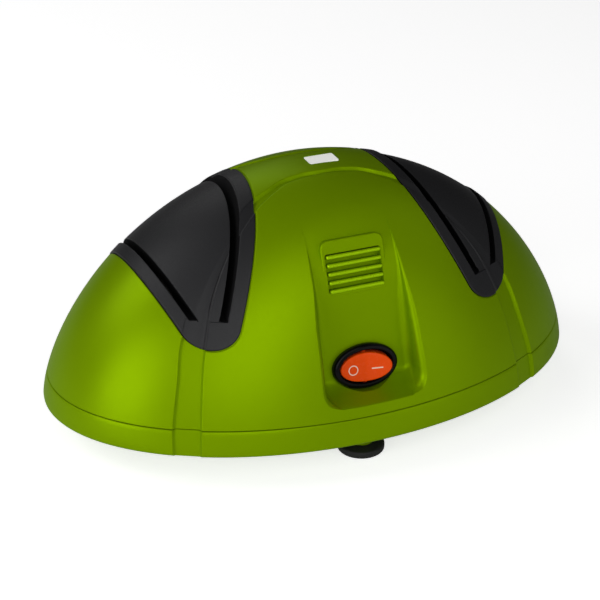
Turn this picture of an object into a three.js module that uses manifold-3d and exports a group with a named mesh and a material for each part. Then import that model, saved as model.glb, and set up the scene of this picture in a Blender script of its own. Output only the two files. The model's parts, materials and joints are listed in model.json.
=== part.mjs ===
// Electric knife sharpener: a low dome housing with a V-shaped guide insert near each end.
// A double-ended motor lies under the dome and turns one grinding wheel below each insert.
// A blade drawn through the two slots of an insert meets the two flat faces of its wheel.
// Units are millimetres. +Z is up, X runs along the housing and the switch faces -Y.
// The origin is on the table, under the middle of the housing.

import * as THREE from 'three';
import { mergeVertices } from 'three/addons/utils/BufferGeometryUtils.js';
import Module from 'manifold-3d';

const wasm = await Module();
wasm.setup();

const degree = Math.PI / 180;
const quarterTurn = Math.PI / 2;
const halfTurn = Math.PI;
const fullTurn = 2 * Math.PI;

// Clearances and cuts
const gap = 0.3;                    // between separate pieces that seat on or pass each other
const overrun = 6;                  // how far a cut runs past the surface that it leaves through
const weld = 1;                     // how deep a boss runs into the wall that carries it

// Housing: a dome on an oval plan, split near its foot into an upper shell and a base tray
const housingLength = 220;
const housingDepth = 139.5;
const domeHeight = 86.9;            // from the lower rim to the crown
const rimHeight = 13.7;             // lower rim above the table
const baseRingHeight = 10.2;        // parting line above the lower rim
const housingWall = 2.4;
const lengthRisePower = 1.524;      // the four powers bend the dome's two upright sections
const lengthRoundPower = 2.112;
const depthRisePower = 1.22;
const depthRoundPower = 2.343;
const domeSides = 44;
const domeLevels = 10;
const hollowLevels = 5;             // the inner faces have fewer facets than the skin
const nearCrownShare = 0.999;       // highest level at which the skin's direction is taken
const searchSteps = 30;             // halvings that find a place on a curve

// Sunken ribbon that runs from the rim over the inserts and the crown and down again
const ribbonDepth = 0.9;
const ribbonStations = 20;
const ribbonFrontShares = [         // share of half the length, share of the dome height
  [0.609, 0], [0.6, 0.127], [0.576, 0.311], [0.547, 0.449], [0.491, 0.627],
  [0.4, 0.786], [0.282, 0.9045], [0.169, 0.9643], [0.086, 0.9827], [0, 0.9885],
];
const ribbonBackShares = [
  [0.692, 0], [0.684, 0.127], [0.65, 0.311], [0.614, 0.472], [0.532, 0.656],
  [0.427, 0.8], [0.305, 0.9114], [0.186, 0.9668], [0.091, 0.9879], [0, 0.9925],
];

// V-shaped notches through the housing, and the guide inserts that fill them
const notchTipOffset = 57;          // rounded tip from the middle of the housing
const notchTipHeight = 28;          // tip above the rim, at the middle plane of the housing
const notchTipRadius = 11;
const notchLean = 22.2 * degree;    // each side of the V, measured from upright
const notchFallShare = 0.22;        // how far the notch falls for its run towards the rear
const insertWall = 2.2;
const insertShift = 0.5;            // insert's skin beside the housing's, away from the middle
const tongueShift = 1.04;           // the same for the tongue between the slots
const tongueDrop = 1.2;             // how far the tongue is let down besides

// Blade slots, two in each insert, closing downwards onto the wheel between them
const slotFloorHeight = 47.4;       // flat lower end above the rim
const slotSpread = 8.35;            // middle of its lower end from the middle of the V
const slotWidth = 2.7;
const slotGuideWall = 1.6;          // thickness of the guide wall on each side of a slot

// Front recess with its lower ledge
const recessTopHalfWidth = 17;
const recessLowHalfWidth = 19.6;
const recessLipHeight = 14.3;       // lower edge above the rim
const recessTopHeight = 77;         // here the floor has come out to the dome's skin
const recessCornerRadius = 7;
const recessLedgeHeight = 6;
const recessLedgeReach = 17;
const recessFootRadius = 3;         // between the floor and the side walls
const recessEdgeRadius = 2.4;       // rounded edge between the side walls and the dome
const recessArcSteps = 2;
const recessLevels = 8;
const recessFloorDepths = [         // height above the rim, distance from the middle plane
  [14.3, 54], [24, 51.6], [53.5, 44.5], [62, 41], [67, 37.9], [70.5, 35.4], [73, 33.4], [77, 29.95],
];

// Flat pad in the upper part of the recess, with five raised bars in a shallow pocket
const padLean = 19.7 * degree;
const padHalfWidth = 12.8;
const padLowHeight = 51;            // above the rim
const padHighHeight = 71;
const padDepth = 44.6;              // pad face from the middle plane at barLowHeight
const padCornerRadius = 3.4;
const padSink = 4;
const barLength = 22.1;
const barThickness = 1.5;
const barPitch = 3.24;
const barCount = 5;
const barRise = 0.8;                // above the pad
const barPocketDepth = 0.9;
const barPocketMargin = 0.5;        // round the outermost bars
const barLowHeight = 52.9;

// Rocker switch
const switchHeight = 23.4;           // middle of the switch above the rim
const switchLean = 13.4 * degree;
const bezelHalfLength = 13.25;
const bezelHalfWidth = 8.6;
const bezelRise = 2.8;
const wellHalfLength = 10.7;
const wellHalfWidth = 6.3;
const wellDepth = 7.5;
const switchNeckHalfLength = 12;
const switchNeckHalfWidth = 7.8;
const switchNeckDepth = 6;
const switchBlockLength = 19;
const switchBlockWidth = 12;
const switchBlockDepth = 16;
const rockerClearance = 0.65;
const rockerTilt = 10 * degree;     // each way from level
const rockerPivotDepth = 2.4;       // pivot below the bezel's face
const rockerRise = 3.1;             // middle of the rocker's face above the pivot
const rockerFaceLean = 9 * degree;
const rockerSkirt = 2.6;            // rocker below its pivot
const trunnionRadius = 0.9;
const trunnionReach = 0.8;
const terminalWidth = 4.8;
const terminalThickness = 0.8;
const terminalLength = 7;
const terminalRoot = 2;
const terminalSpacing = 10;
const ovalSides = 20;

// White plate let into the crown
const plateOffset = 4.3;
const plateLength = 12;
const plateWidth = 7.4;
const plateThickness = 1.1;
const plateCornerRadius = 0.9;
const plateSettle = 0.16;           // top face below the crown

// Base tray
const trayFloorLift = 1.5;          // floor above the rim
const trayFloorThickness = 2.4;
const lipThickness = 1.3;
const lipRise = 2.2;
const lipRoot = 2.5;
const columnLengthShare = 0.764;    // places of the four columns on half the length and depth
const columnDepthShare = 0.344;
const columnRadius = 4.5;
const sleeveRadius = 5.3;
const sleeveHeight = 11;
const screwShankRadius = 1.4;
const screwHeadRadius = 3.1;
const screwHeadHeight = 2.2;
const screwHeadSink = 3.2;          // head's lower face above the underside of the floor
const screwGrip = 9;                // thread in the housing's column
const ventLength = 26;
const ventWidth = 2.4;
const ventPitch = 6;
const ventCount = 5;

// Feet
const footRadius = 9.2;
const footThickness = 2.9;
const footLipRound = 0.8;
const footCupRadius = 5;
const footCupDepth = 0.7;
const footStemRadius = 2.5;
const footStemLength = 6;
const footBossTopRadius = 6;
const footBossLowRadius = 4.8;
const sideFootShare = 0.682;        // places of the feet on half the length and half the depth
const frontFootShare = 0.731;

// Motor and its mounting
const shaftHeight = 30;             // above the rim
const canRadius = 21;
const canWall = 1.6;
const canLeftEnd = -27;
const canRightEnd = 21;
const capThickness = 3.7;
const capInset = 3;
const bearingBossRadius = 7;
const bearingBossLength = 4.7;
const bearingRadius = 5;
const bearingLength = 4.2;
const bearingStopThickness = 1;
const magnetThickness = 4.5;
const magnetLength = 32;
const magnetSpan = 130 * degree;
const coreRadius = 13.8;
const coreLength = 26;
const coreMiddle = -4;
const coreSlots = 8;
const coreSlotRadius = 2.1;
const coreSlotCircle = 9.6;
const coreSlitWidth = 1.5;
const endTurnRadius = 12.2;
const endTurnThickness = 3;
const commutatorRadius = 5.5;
const commutatorLength = 8;
const commutatorSlit = 0.6;
const brushWidth = 4;
const brushLength = 8;
const brushHolderWall = 1.3;
const brushHolderLength = 7.5;
const brushSetback = 4.8;           // brush middle from the cap's inner face
const brushTabThickness = 0.8;
const brushTabLength = 14;
const shaftRadius = 2.5;
const shaftLength = 142;
const saddleOffset = 17;
const saddleThickness = 4;
const saddleHalfWidth = 30;
const saddleDrop = 4;               // saddle's top below the shaft
const strapThickness = 1.8;
const strapWidth = 6;
const strapScrewSetback = 26.5;
const smallShankRadius = 1.1;
const smallHeadRadius = 2.3;
const smallHeadHeight = 1.5;
const strapScrewLength = 9;

// Grinding wheels and the fan
const wheelRadius = 22;
const wheelThickness = 14.6;        // its faces just enter the two slots
const wheelRoom = 1.5;              // free space round the wheel and its flanges
const wheelChamfer = 0.6;
const hubRadius = 4;
const flangeRadius = 7.5;
const flangeThickness = 2;
const hubTail = 6;
const washerRadius = 7;
const washerThickness = 1.2;
const nutAcrossFlats = 8;
const nutThickness = 3.6;
const fanOffset = 37;
const fanRadius = 16;
const fanHubRadius = 5.5;
const fanWidth = 8;
const fanBladeThickness = 1.2;
const fanBladeCount = 7;
const fanBladeRoot = 170 * degree;  // ends of the curved blade on its own circle
const fanBladeTip = 15 * degree;
const fanDiscThickness = 1.2;

// Wiring, board and gland
const blockLength = 22;
const blockWidth = 12;
const blockHeight = 11;
const blockOffset = -32;
const blockClearance = 5;           // block to the motor's saddles, with room for the leads
const blockBoreRadius = 1.5;
const blockBoreSpacing = 9;
const boardLength = 34;
const boardThickness = 1.6;
const boardOffset = 30;
const boardMargin = 14.75;          // board to the rear of the rim
const boardClearance = 1;           // board to the motor's saddle
const boardHoleMargin = 4;          // middle of a hole to the board's edge
const postRadius = 2.6;
const postHeight = 6;
const boardScrewLength = 6.5;
const rectifierSize = 8;
const rectifierHeight = 5;
const capacitorLength = 11;
const capacitorWidth = 7;
const capacitorHeight = 10;
const leadRadius = 0.9;
const leadSides = 5;
const leadStepsShare = 2;           // lengths of tube for each place that a lead passes
const sideRunShare = 0.8;           // side run of the leads, on the saddle's half width
const glandOffset = -35;            // gland in the rear wall of the upper housing
const glandHeight = 21.5;           // middle of the gland above the rim
const glandSink = 3.6;              // seat of its flange below the skin
const glandFlangeRadius = 5.7;
const glandFlangeThickness = 1.5;
const glandNeckRadius = 4.4;
const glandBoreRadius = 3.3;

// Faces of turned pieces
const smallSides = 8;
const turnedSides = 12;
const footSides = 16;
const wheelSides = 24;

// Places worked out from the sizes above
const fromRim = (height) => rimHeight + height;
const partingHeight = fromRim(baseRingHeight);
const shaftZ = fromRim(shaftHeight);
const trayFloorLow = fromRim(trayFloorLift);
const trayFloorTop = trayFloorLow + trayFloorThickness;
const farOut = housingLength;       // well outside the housing on every side
const wheelOffset = notchTipOffset;
const wheelIn = wheelOffset - wheelThickness / 2;
const wheelOut = wheelOffset + wheelThickness / 2;
const blockSetback = saddleHalfWidth + blockClearance + blockWidth / 2;
const boardFront = saddleHalfWidth + boardClearance;
const boardWidth = housingDepth / 2 - boardMargin - boardFront;
const boardSetback = boardFront + boardWidth / 2;

// Points and frames
const point = (x, y, z) => new THREE.Vector3(x, y, z);

// Frame whose local X, Y and Z are the given directions
function frame(origin, xAxis, yAxis, zAxis) {
  const matrix = new THREE.Matrix4().makeBasis(xAxis, yAxis, zAxis);
  return matrix.setPosition(origin);
}
const axisX = point(1, 0, 0);
const axisY = point(0, 1, 0);
const axisZ = point(0, 0, 1);
const minusY = point(0, -1, 0);
const origin = point(0, 0, 0);

// Outlines drawn in X and Z, in Y and Z, and in X and Y
const frontFrame = frame(origin, axisX, axisZ, minusY);
const sideFrame = frame(origin, axisY, axisZ, axisX);

// A face of the front recess that leans back: local Z points out of it
function leaningFrame(y, z, lean) {
  const upSlope = point(0, Math.sin(lean), Math.cos(lean));
  const outward = point(0, -Math.cos(lean), Math.sin(lean));
  return frame(point(0, y, z), axisX, upSlope, outward);
}

// Closed solid from any closed geometry, with its faces turned outwards
function solid(geometry) {
  const plain = geometry.clone();
  plain.deleteAttribute('normal');
  plain.deleteAttribute('uv');
  const merged = mergeVertices(plain);
  const spots = merged.attributes.position.array;
  const corners = [];
  let volume = 0;
  for (let i = 0; i < merged.index.count; i += 3) {
    const [a, b, c] = [0, 1, 2].map((step) => merged.index.getX(i + step));
    if (a === b || b === c || c === a) continue;
    corners.push(a, b, c);
    const [p, q, r] = [a, b, c].map((n) => new THREE.Vector3().fromArray(spots, 3 * n));
    volume += p.dot(q.cross(r));
  }
  if (volume < 0) corners.reverse();
  const mesh = { numProp: 3, vertProperties: spots, triVerts: Uint32Array.from(corners) };
  return new wasm.Manifold(new wasm.Mesh(mesh));
}

function geometryOf(body) {
  const mesh = body.getMesh();
  const geometry = new THREE.BufferGeometry();
  geometry.setAttribute('position', new THREE.BufferAttribute(mesh.vertProperties, 3));
  geometry.setIndex(new THREE.BufferAttribute(mesh.triVerts, 1));
  geometry.computeVertexNormals();
  return geometry;
}

const joined = (first, ...rest) => rest.reduce((whole, piece) => whole.add(piece), first);
const cut = (first, ...rest) => rest.reduce((whole, piece) => whole.subtract(piece), first);

// The same geometry with its left and right exchanged
function mirroredX(geometry) {
  const copy = geometry.clone().scale(-1, 1, 1);
  const index = copy.index.array;
  for (let i = 0; i < index.length; i += 3) [index[i], index[i + 1]] = [index[i + 1], index[i]];
  copy.computeVertexNormals();
  return copy;
}

// Solid through a row of rings with equally many points; a ring may shrink to one point
function loft(rings) {
  const count = rings[0].length;
  const spots = rings.flat().flatMap((spot) => [spot.x, spot.y, spot.z]);
  const faces = [];
  for (let i = 0; i + 1 < rings.length; i += 1) {
    for (let j = 0; j < count; j += 1) {
      const a = i * count + j;
      const b = i * count + ((j + 1) % count);
      faces.push([a, b, b + count], [a, b + count, a + count]);
    }
  }
  const close = (ring, first, order) => {
    if (ring[0].distanceTo(ring[1]) === 0) return;
    const middle = ring.reduce((sum, spot) => sum.add(spot), new THREE.Vector3()).divideScalar(count);
    const hub = spots.length / 3;
    spots.push(middle.x, middle.y, middle.z);
    for (let j = 0; j < count; j += 1) faces.push(order(hub, first + j, first + ((j + 1) % count)));
  };
  close(rings[0], 0, (hub, a, b) => [hub, b, a]);
  close(rings[rings.length - 1], count * (rings.length - 1), (hub, a, b) => [hub, a, b]);
  const geometry = new THREE.BufferGeometry();
  geometry.setAttribute('position', new THREE.Float32BufferAttribute(spots, 3));
  geometry.setIndex(faces.flat());
  return solid(geometry);
}

// Outline pushed along local Z from low to high, with an even number of facets on each arc
function prism(shape, low, high, matrix = new THREE.Matrix4(), arcFacets = 4) {
  const options = { depth: high - low, bevelEnabled: false, curveSegments: arcFacets / 2 };
  const geometry = new THREE.ExtrudeGeometry(shape, options).translate(0, 0, low);
  return solid(geometry.applyMatrix4(matrix));
}

function polygon(corners) {
  return new THREE.Shape(corners.map(([x, y]) => new THREE.Vector2(x, y)));
}

const rectangle = (x0, y0, x1, y1) => polygon([[x0, y0], [x1, y0], [x1, y1], [x0, y1]]);

function roundedRectangle(halfLength, halfWidth, radius) {
  const shape = new THREE.Shape();
  const [l, w] = [halfLength - radius, halfWidth - radius];
  shape.absarc(l, w, radius, 0, quarterTurn);
  shape.absarc(-l, w, radius, quarterTurn, halfTurn);
  shape.absarc(-l, -w, radius, halfTurn, 3 * quarterTurn);
  shape.absarc(l, -w, radius, 3 * quarterTurn, fullTurn);
  return shape;
}

// Outline along X with straight sides and half-round ends
function stadium(halfLength, radius) {
  const shape = new THREE.Shape();
  shape.absarc(halfLength - radius, 0, radius, -quarterTurn, quarterTurn);
  shape.absarc(radius - halfLength, 0, radius, quarterTurn, 3 * quarterTurn);
  return shape;
}

// Solid turned about Z from a closed profile of [radius, height] corners
function turned(profile, sides, matrix = new THREE.Matrix4()) {
  const corners = [...profile, profile[0]].map(([r, h]) => new THREE.Vector2(r, h));
  const geometry = new THREE.LatheGeometry(corners, sides).rotateX(quarterTurn);
  return solid(geometry.applyMatrix4(matrix));
}

// Frame that lays a turned piece along X at the height of the shaft
const shaftFrame = frame(point(0, 0, shaftZ), axisY, axisZ, axisX);
const disc = (radius, low, high, sides, matrix) =>
  turned([[0, low], [radius, low], [radius, high], [0, high]], sides, matrix);
const tube = (inner, outer, low, high, sides, matrix) =>
  turned([[inner, low], [outer, low], [outer, high], [inner, high]], sides, matrix);

// Dome: half length and half depth at a height, drawn in by an inset
const heightShare = (z, inset) =>
  THREE.MathUtils.clamp((z - rimHeight) / (domeHeight - inset), 0, 1);
const halfLengthAt = (z, inset) =>
  (housingLength / 2 - inset) * (1 - heightShare(z, inset) ** lengthRisePower) ** (1 / lengthRoundPower);
const halfDepthAt = (z, inset) =>
  (housingDepth / 2 - inset) * (1 - heightShare(z, inset) ** depthRisePower) ** (1 / depthRoundPower);

// Distance of the front skin from the middle plane, and the skin's outward direction
function skinDepth(x, z) {
  const share = Math.min(Math.abs(x) / halfLengthAt(z, 0), 1);
  return halfDepthAt(z, 0) * Math.sqrt(1 - share * share);
}

function skinNormal(x, z) {
  const step = housingWall;
  const low = Math.max(z - step, rimHeight);
  const high = Math.min(z + step, fromRim(domeHeight * nearCrownShare));
  const y = -skinDepth(x, z);
  const value = (height) => (x / halfLengthAt(height, 0)) ** 2 + (y / halfDepthAt(height, 0)) ** 2;
  const rise = (value(high) - value(low)) / (high - low);
  const along = (2 * x) / halfLengthAt(z, 0) ** 2;
  const across = (2 * y) / halfDepthAt(z, 0) ** 2;
  return point(along, across, rise).normalize();
}

// Level ring of the dome, and solids lofted through such rings
function domeRing(inset, z, sides) {
  const [a, b] = [halfLengthAt(z, inset), halfDepthAt(z, inset)];
  return Array.from({ length: sides }, (_, i) => {
    const turn = (i / sides) * fullTurn;
    return point(a * Math.cos(turn), b * Math.sin(turn), z);
  });
}
const domeBand = (inset, low, high) =>
  loft([low, high].map((z) => domeRing(inset, z, domeSides)));

// Ring of one section, given as [inset, height] corners, swept round the oval plan
function domeSweep(section) {
  const rings = section.map(([inset, z]) => domeRing(inset, z, domeSides));
  const spots = rings.flat().flatMap((spot) => [spot.x, spot.y, spot.z]);
  const faces = [];
  for (let i = 0; i < rings.length; i += 1) {
    const next = (i + 1) % rings.length;
    for (let j = 0; j < domeSides; j += 1) {
      const k = (j + 1) % domeSides;
      const [a, b] = [i * domeSides + j, i * domeSides + k];
      const [c, d] = [next * domeSides + k, next * domeSides + j];
      faces.push([a, b, c], [a, c, d]);
    }
  }
  const geometry = new THREE.BufferGeometry();
  geometry.setAttribute('position', new THREE.Float32BufferAttribute(spots, 3));
  geometry.setIndex(faces.flat());
  return solid(geometry);
}

// The whole dome, and the smaller one that hollows it out
function dome(inset, levels = domeLevels) {
  const steps = Array.from({ length: levels + 1 }, (_, i) => Math.sin((i / levels) * quarterTurn));
  const heights = steps.map((share) => rimHeight + (domeHeight - inset) * share);
  const crown = fromRim(domeHeight - inset);
  const joints = [partingHeight, partingHeight + 2 * lipRise, crown - plateSettle];
  const sorted = [...heights, ...joints].sort((a, b) => a - b);
  return loft(sorted.map((z) => domeRing(inset, z, domeSides)));
}
const domeHollow = (inset) => dome(inset, hollowLevels);

// Level layer between two heights
const slab = (low, high) =>
  prism(rectangle(-farOut, -farOut, farOut, farOut), low, high);

// Ribbon: one closed band on the front skin, and its copy on the rear
function ribbon(rear) {
  const curveThrough = (shares) => {
    const right = shares.map(([x, z]) => point((x * housingLength) / 2, 0, z * domeHeight));
    const foot = right[0].clone().setZ(-overrun);
    const half = [foot, ...right];
    const left = half.slice(0, -1).map((spot) => point(-spot.x, 0, spot.z));
    return new THREE.CatmullRomCurve3([...left, ...half.reverse()]);
  };
  const edges = [curveThrough(ribbonFrontShares), curveThrough(ribbonBackShares)];
  const side = rear ? 1 : -1;
  const rings = [];
  for (let i = 0; i <= ribbonStations; i += 1) {
    const spots = edges.map((edge) => edge.getPoint(i / ribbonStations));
    const lift = spots.map(({ x, z }) => {
      const height = rimHeight + z;
      const skin = point(x, -skinDepth(x, Math.max(height, rimHeight)), height);
      const out = skinNormal(x, Math.max(height, rimHeight));
      return [skin.clone().addScaledVector(out, overrun), skin.clone().addScaledVector(out, -ribbonDepth)];
    });
    const ring = [lift[0][0], lift[1][0], lift[1][1], lift[0][1]];
    rings.push(ring.map((spot) => point(spot.x, -side * spot.y, spot.z)));
  }
  return loft(rings);
}
const ribbons = [ribbon(false), ribbon(true)];

// Right-hand notch: a V with a rounded tip, drawn in by an inset, that falls towards the rear
function notch(inset) {
  const radius = notchTipRadius - inset;
  const centre = [notchTipOffset, fromRim(notchTipHeight + notchTipRadius)];
  const top = fromRim(domeHeight + overrun) + (notchFallShare * housingDepth) / 2;
  const rise = radius * Math.sin(notchLean);
  const half = radius * Math.cos(notchLean);
  const spread = half + (top - centre[1] + rise) * Math.tan(notchLean);
  const shape = new THREE.Shape();
  shape.moveTo(centre[0] - spread, top);
  shape.lineTo(centre[0] - half, centre[1] - rise);
  shape.absarc(centre[0], centre[1], radius, halfTurn + notchLean, fullTurn - notchLean);
  shape.lineTo(centre[0] + spread, top);
  const falling = frame(origin, axisX, axisZ, point(0, -1, notchFallShare));
  return prism(shape, -farOut, farOut, falling, 10);
}

// Middle plane of the slot on one side of the V; like that side it leans, and toes out to the rear
function slotPlace(side, height, y) {
  const above = height - slotFloorHeight + notchFallShare * y;
  return notchTipOffset + side * (slotSpread + above * Math.tan(notchLean));
}
// Solid from the rear to the front whose corners are [side of the V, height, distance from the slot]
function alongSlots(corners, reach) {
  return loft([reach, -reach].map((y) => corners.map(([side, height, beside]) =>
    point(slotPlace(side, height, y) + beside, y, fromRim(height)))));
}
const slotTop = domeHeight + overrun;
function slotSlab(side, width, floor) {
  const half = width / 2 / Math.cos(notchLean);
  return alongSlots([
    [side, floor, -half], [side, floor, half], [side, slotTop, half], [side, slotTop, -half],
  ], farOut);
}
const tongueZone = () => alongSlots([
  [-1, slotFloorHeight, 0], [1, slotFloorHeight, 0], [1, slotTop, 0], [-1, slotTop, 0],
], housingDepth / 2 + overrun);

// Recess: a row of level sections whose walls, floor and edges are rounded
const recessCurve = new THREE.CatmullRomCurve3(
  recessFloorDepths.map(([height, depth]) => point(0, depth, height)),
);
function recessFloor(height) {
  const heights = recessFloorDepths.map((row) => row[0]);
  const share = THREE.MathUtils.clamp(height, heights[0], heights[heights.length - 1]);
  let [low, high] = [0, 1];
  for (let i = 0; i < searchSteps; i += 1) {
    const middle = (low + high) / 2;
    if (recessCurve.getPoint(middle).z < share) low = middle;
    else high = middle;
  }
  return recessCurve.getPoint(low).y;
}
// Share of a quarter round that is left at a height above its foot
const quarterRound = (height, radius) => {
  const below = THREE.MathUtils.clamp((radius - height) / radius, 0, 1);
  return 1 - Math.sqrt(1 - below * below);
};

function recess(grow) {
  const low = recessLipHeight - grow;
  const heights = Array.from({ length: recessLevels + 1 }, (_, i) => {
    const share = 1 - Math.cos((i / recessLevels) * quarterTurn);
    return low + share * (recessTopHeight - low);
  });
  const rings = heights.map((height) => {
    const above = height - low;
    const share = (height - recessLipHeight) / (recessTopHeight - recessLipHeight);
    const straight = THREE.MathUtils.lerp(recessLowHalfWidth, recessTopHalfWidth, share) + grow;
    const half = straight - recessCornerRadius * quarterRound(above, recessCornerRadius);
    const ledge = recessLedgeReach * quarterRound(above, recessLedgeHeight);
    const floor = recessFloor(height) + ledge - grow;
    const skin = skinDepth(half, fromRim(height));
    const depth = Math.max(skin - floor, 0);
    const mouth = floor + depth;
    const foot = Math.min(recessFootRadius + grow, depth / 2);
    const edge = grow > 0 ? 0 : Math.min(recessEdgeRadius, depth / 3);
    const right = [[half + edge, farOut]];
    for (let i = 0; i <= recessArcSteps; i += 1) {
      const turn = (i / recessArcSteps) * quarterTurn;
      right.push([half + edge - edge * Math.sin(turn), mouth - edge + edge * Math.cos(turn)]);
    }
    for (let i = 0; i <= recessArcSteps; i += 1) {
      const turn = (i / recessArcSteps) * quarterTurn;
      right.push([half - foot + foot * Math.cos(turn), floor + foot - foot * Math.sin(turn)]);
    }
    const left = right.map(([x, y]) => [-x, y]).reverse();
    return [...right, ...left].map(([x, y]) => point(x, -y, fromRim(height)));
  });
  return loft(rings);
}

// Oval outline of the switch's pieces
function oval(halfLength, halfWidth) {
  return new THREE.Shape().absellipse(0, 0, halfLength, halfWidth, 0, fullTurn, false);
}
const ovalPrism = (halfLength, halfWidth, low, high, matrix) =>
  prism(oval(halfLength, halfWidth), low, high, matrix, ovalSides);

const switchFrame = leaningFrame(-recessFloor(switchHeight), fromRim(switchHeight), switchLean);

// Pieces, each with a finish of its own
const finishes = {
  greenPlastic: { color: 0x7a9c00, roughness: 0.42, metalness: 0 },
  blackPlastic: { color: 0x2b2b2d, roughness: 0.6, metalness: 0 },
  glossBlack: { color: 0x121214, roughness: 0.2, metalness: 0 },
  orangePlastic: { color: 0xea4c06, roughness: 0.3, metalness: 0 },
  whitePlastic: { color: 0xf0f0ee, roughness: 0.35, metalness: 0 },
  blackRubber: { color: 0x161616, roughness: 0.75, metalness: 0 },
  greyPlastic: { color: 0x8b8f92, roughness: 0.5, metalness: 0 },
  steel: { color: 0xb8bcc0, roughness: 0.32, metalness: 1 },
  zincSteel: { color: 0xa9adb0, roughness: 0.4, metalness: 1 },
  copper: { color: 0xb4652d, roughness: 0.35, metalness: 1 },
  brass: { color: 0xc8a24a, roughness: 0.3, metalness: 1 },
  ferrite: { color: 0x3a3a3c, roughness: 0.8, metalness: 0 },
  carbon: { color: 0x222224, roughness: 0.7, metalness: 0 },
  abrasive: { color: 0xa9a49c, roughness: 0.95, metalness: 0 },
  boardGreen: { color: 0x2f5d34, roughness: 0.5, metalness: 0 },
  blueLead: { color: 0x2a56a8, roughness: 0.5, metalness: 0 },
  brownLead: { color: 0x6b3f22, roughness: 0.5, metalness: 0 },
};
const sharpener = new THREE.Group();
const stationary = new THREE.Group();
const rotor = new THREE.Group();
sharpener.add(stationary, rotor);

function addPiece(parent, name, geometry, finish) {
  const material = new THREE.MeshStandardMaterial(finishes[finish]);
  const mesh = new THREE.Mesh(geometry, material);
  mesh.name = name;
  parent.add(mesh);
  return mesh;
}
const addSolid = (parent, name, body, finish) => addPiece(parent, name, geometryOf(body), finish);

// Places of the four housing screws
const columnPlaces = [
  ['front_left', -1, -1], ['front_right', 1, -1], ['rear_left', -1, 1], ['rear_right', 1, 1],
].map(([name, x, y]) => [
  name, (x * columnLengthShare * housingLength) / 2, (y * columnDepthShare * housingDepth) / 2,
]);
const sleeveTop = trayFloorTop + sleeveHeight;
const screwHeadLow = trayFloorLow + screwHeadSink;
const screwTip = sleeveTop + gap + screwGrip;

// Place of the gland: its flange seats in a round recess of the rear wall and faces straight back
const glandZ = fromRim(glandHeight);
const glandSeat = point(glandOffset, skinDepth(glandOffset, glandZ) - glandSink, glandZ);
const glandFrame = frame(glandSeat, point(-1, 0, 0), axisZ, axisY);

// Upper housing
function upperHousing() {
  const rightNotch = notch(0);
  const notches = [rightNotch, solid(mirroredX(geometryOf(rightNotch)))];
  const hollow = cut(domeHollow(housingWall), recess(housingWall));
  const skin = dome(0);
  const shell = cut(skin, hollow, recess(0), ...ribbons, ...notches);
  const columns = columnPlaces.map(([, x, y]) => {
    const column = disc(columnRadius, sleeveTop + gap, fromRim(domeHeight), turnedSides);
    const bore = disc(screwShankRadius + gap, sleeveTop, screwTip + gap, smallSides);
    return cut(column, bore).translate([x, y, 0]).intersect(domeHollow(housingWall - weld));
  });
  const padFrame = leaningFrame(-padDepth, fromRim(barLowHeight), padLean);
  const lowEdge = (padLowHeight - barLowHeight) / Math.cos(padLean);
  const highEdge = (padHighHeight - barLowHeight) / Math.cos(padLean);
  const padOutline = roundedRectangle(padHalfWidth, (highEdge - lowEdge) / 2, padCornerRadius);
  const padMiddle = new THREE.Matrix4().makeTranslation(0, (lowEdge + highEdge) / 2, 0);
  const pad = prism(padOutline, -padSink, 0, padFrame.clone().multiply(padMiddle));
  const bars = Array.from({ length: barCount }, (_, i) => {
    const lift = new THREE.Matrix4().makeTranslation(0, i * barPitch, 0);
    const outline = stadium(barLength / 2, barThickness / 2);
    return prism(outline, -barPocketDepth - weld, barRise, padFrame.clone().multiply(lift), 2);
  });
  const barSpan = (barCount - 1) * barPitch;
  const pocketRound = barThickness / 2 + barPocketMargin;
  const pocketOutline = roundedRectangle(
    barLength / 2 + barPocketMargin, barSpan / 2 + pocketRound, pocketRound,
  );
  const pocketMiddle = new THREE.Matrix4().makeTranslation(0, barSpan / 2, 0);
  const pocket = prism(
    pocketOutline, -barPocketDepth, overrun, padFrame.clone().multiply(pocketMiddle),
  );
  const crown = fromRim(domeHeight);
  const plateHole = prism(
    roundedRectangle(plateLength / 2 + gap, plateWidth / 2 + gap, plateCornerRadius + gap),
    crown - plateSettle - plateThickness - gap, crown + overrun,
  ).translate([plateOffset, 0, 0]);
  const switchHole = ovalPrism(
    switchNeckHalfLength + gap, switchNeckHalfWidth + gap, -switchBlockDepth, overrun, switchFrame,
  );
  const switchSeat = ovalPrism(bezelHalfLength + gap, bezelHalfWidth + gap, 0, overrun, switchFrame);
  const glandBoss = disc(
    glandFlangeRadius + gap + housingWall, -housingWall, overrun, wheelSides, glandFrame,
  ).intersect(skin);
  const glandHole = joined(
    disc(glandNeckRadius + gap, -overrun, overrun, turnedSides, glandFrame),
    disc(glandFlangeRadius + gap, 0, overrun, wheelSides, glandFrame),
  );
  const whole = joined(cut(joined(shell, pad), pocket), glandBoss, ...bars, ...columns);
  const belowJoint = slab(-overrun, partingHeight + gap / 2);
  return cut(whole, plateHole, switchHole, switchSeat, glandHole, belowJoint);
}
addSolid(stationary, 'upper_housing', upperHousing(), 'greenPlastic');

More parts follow.
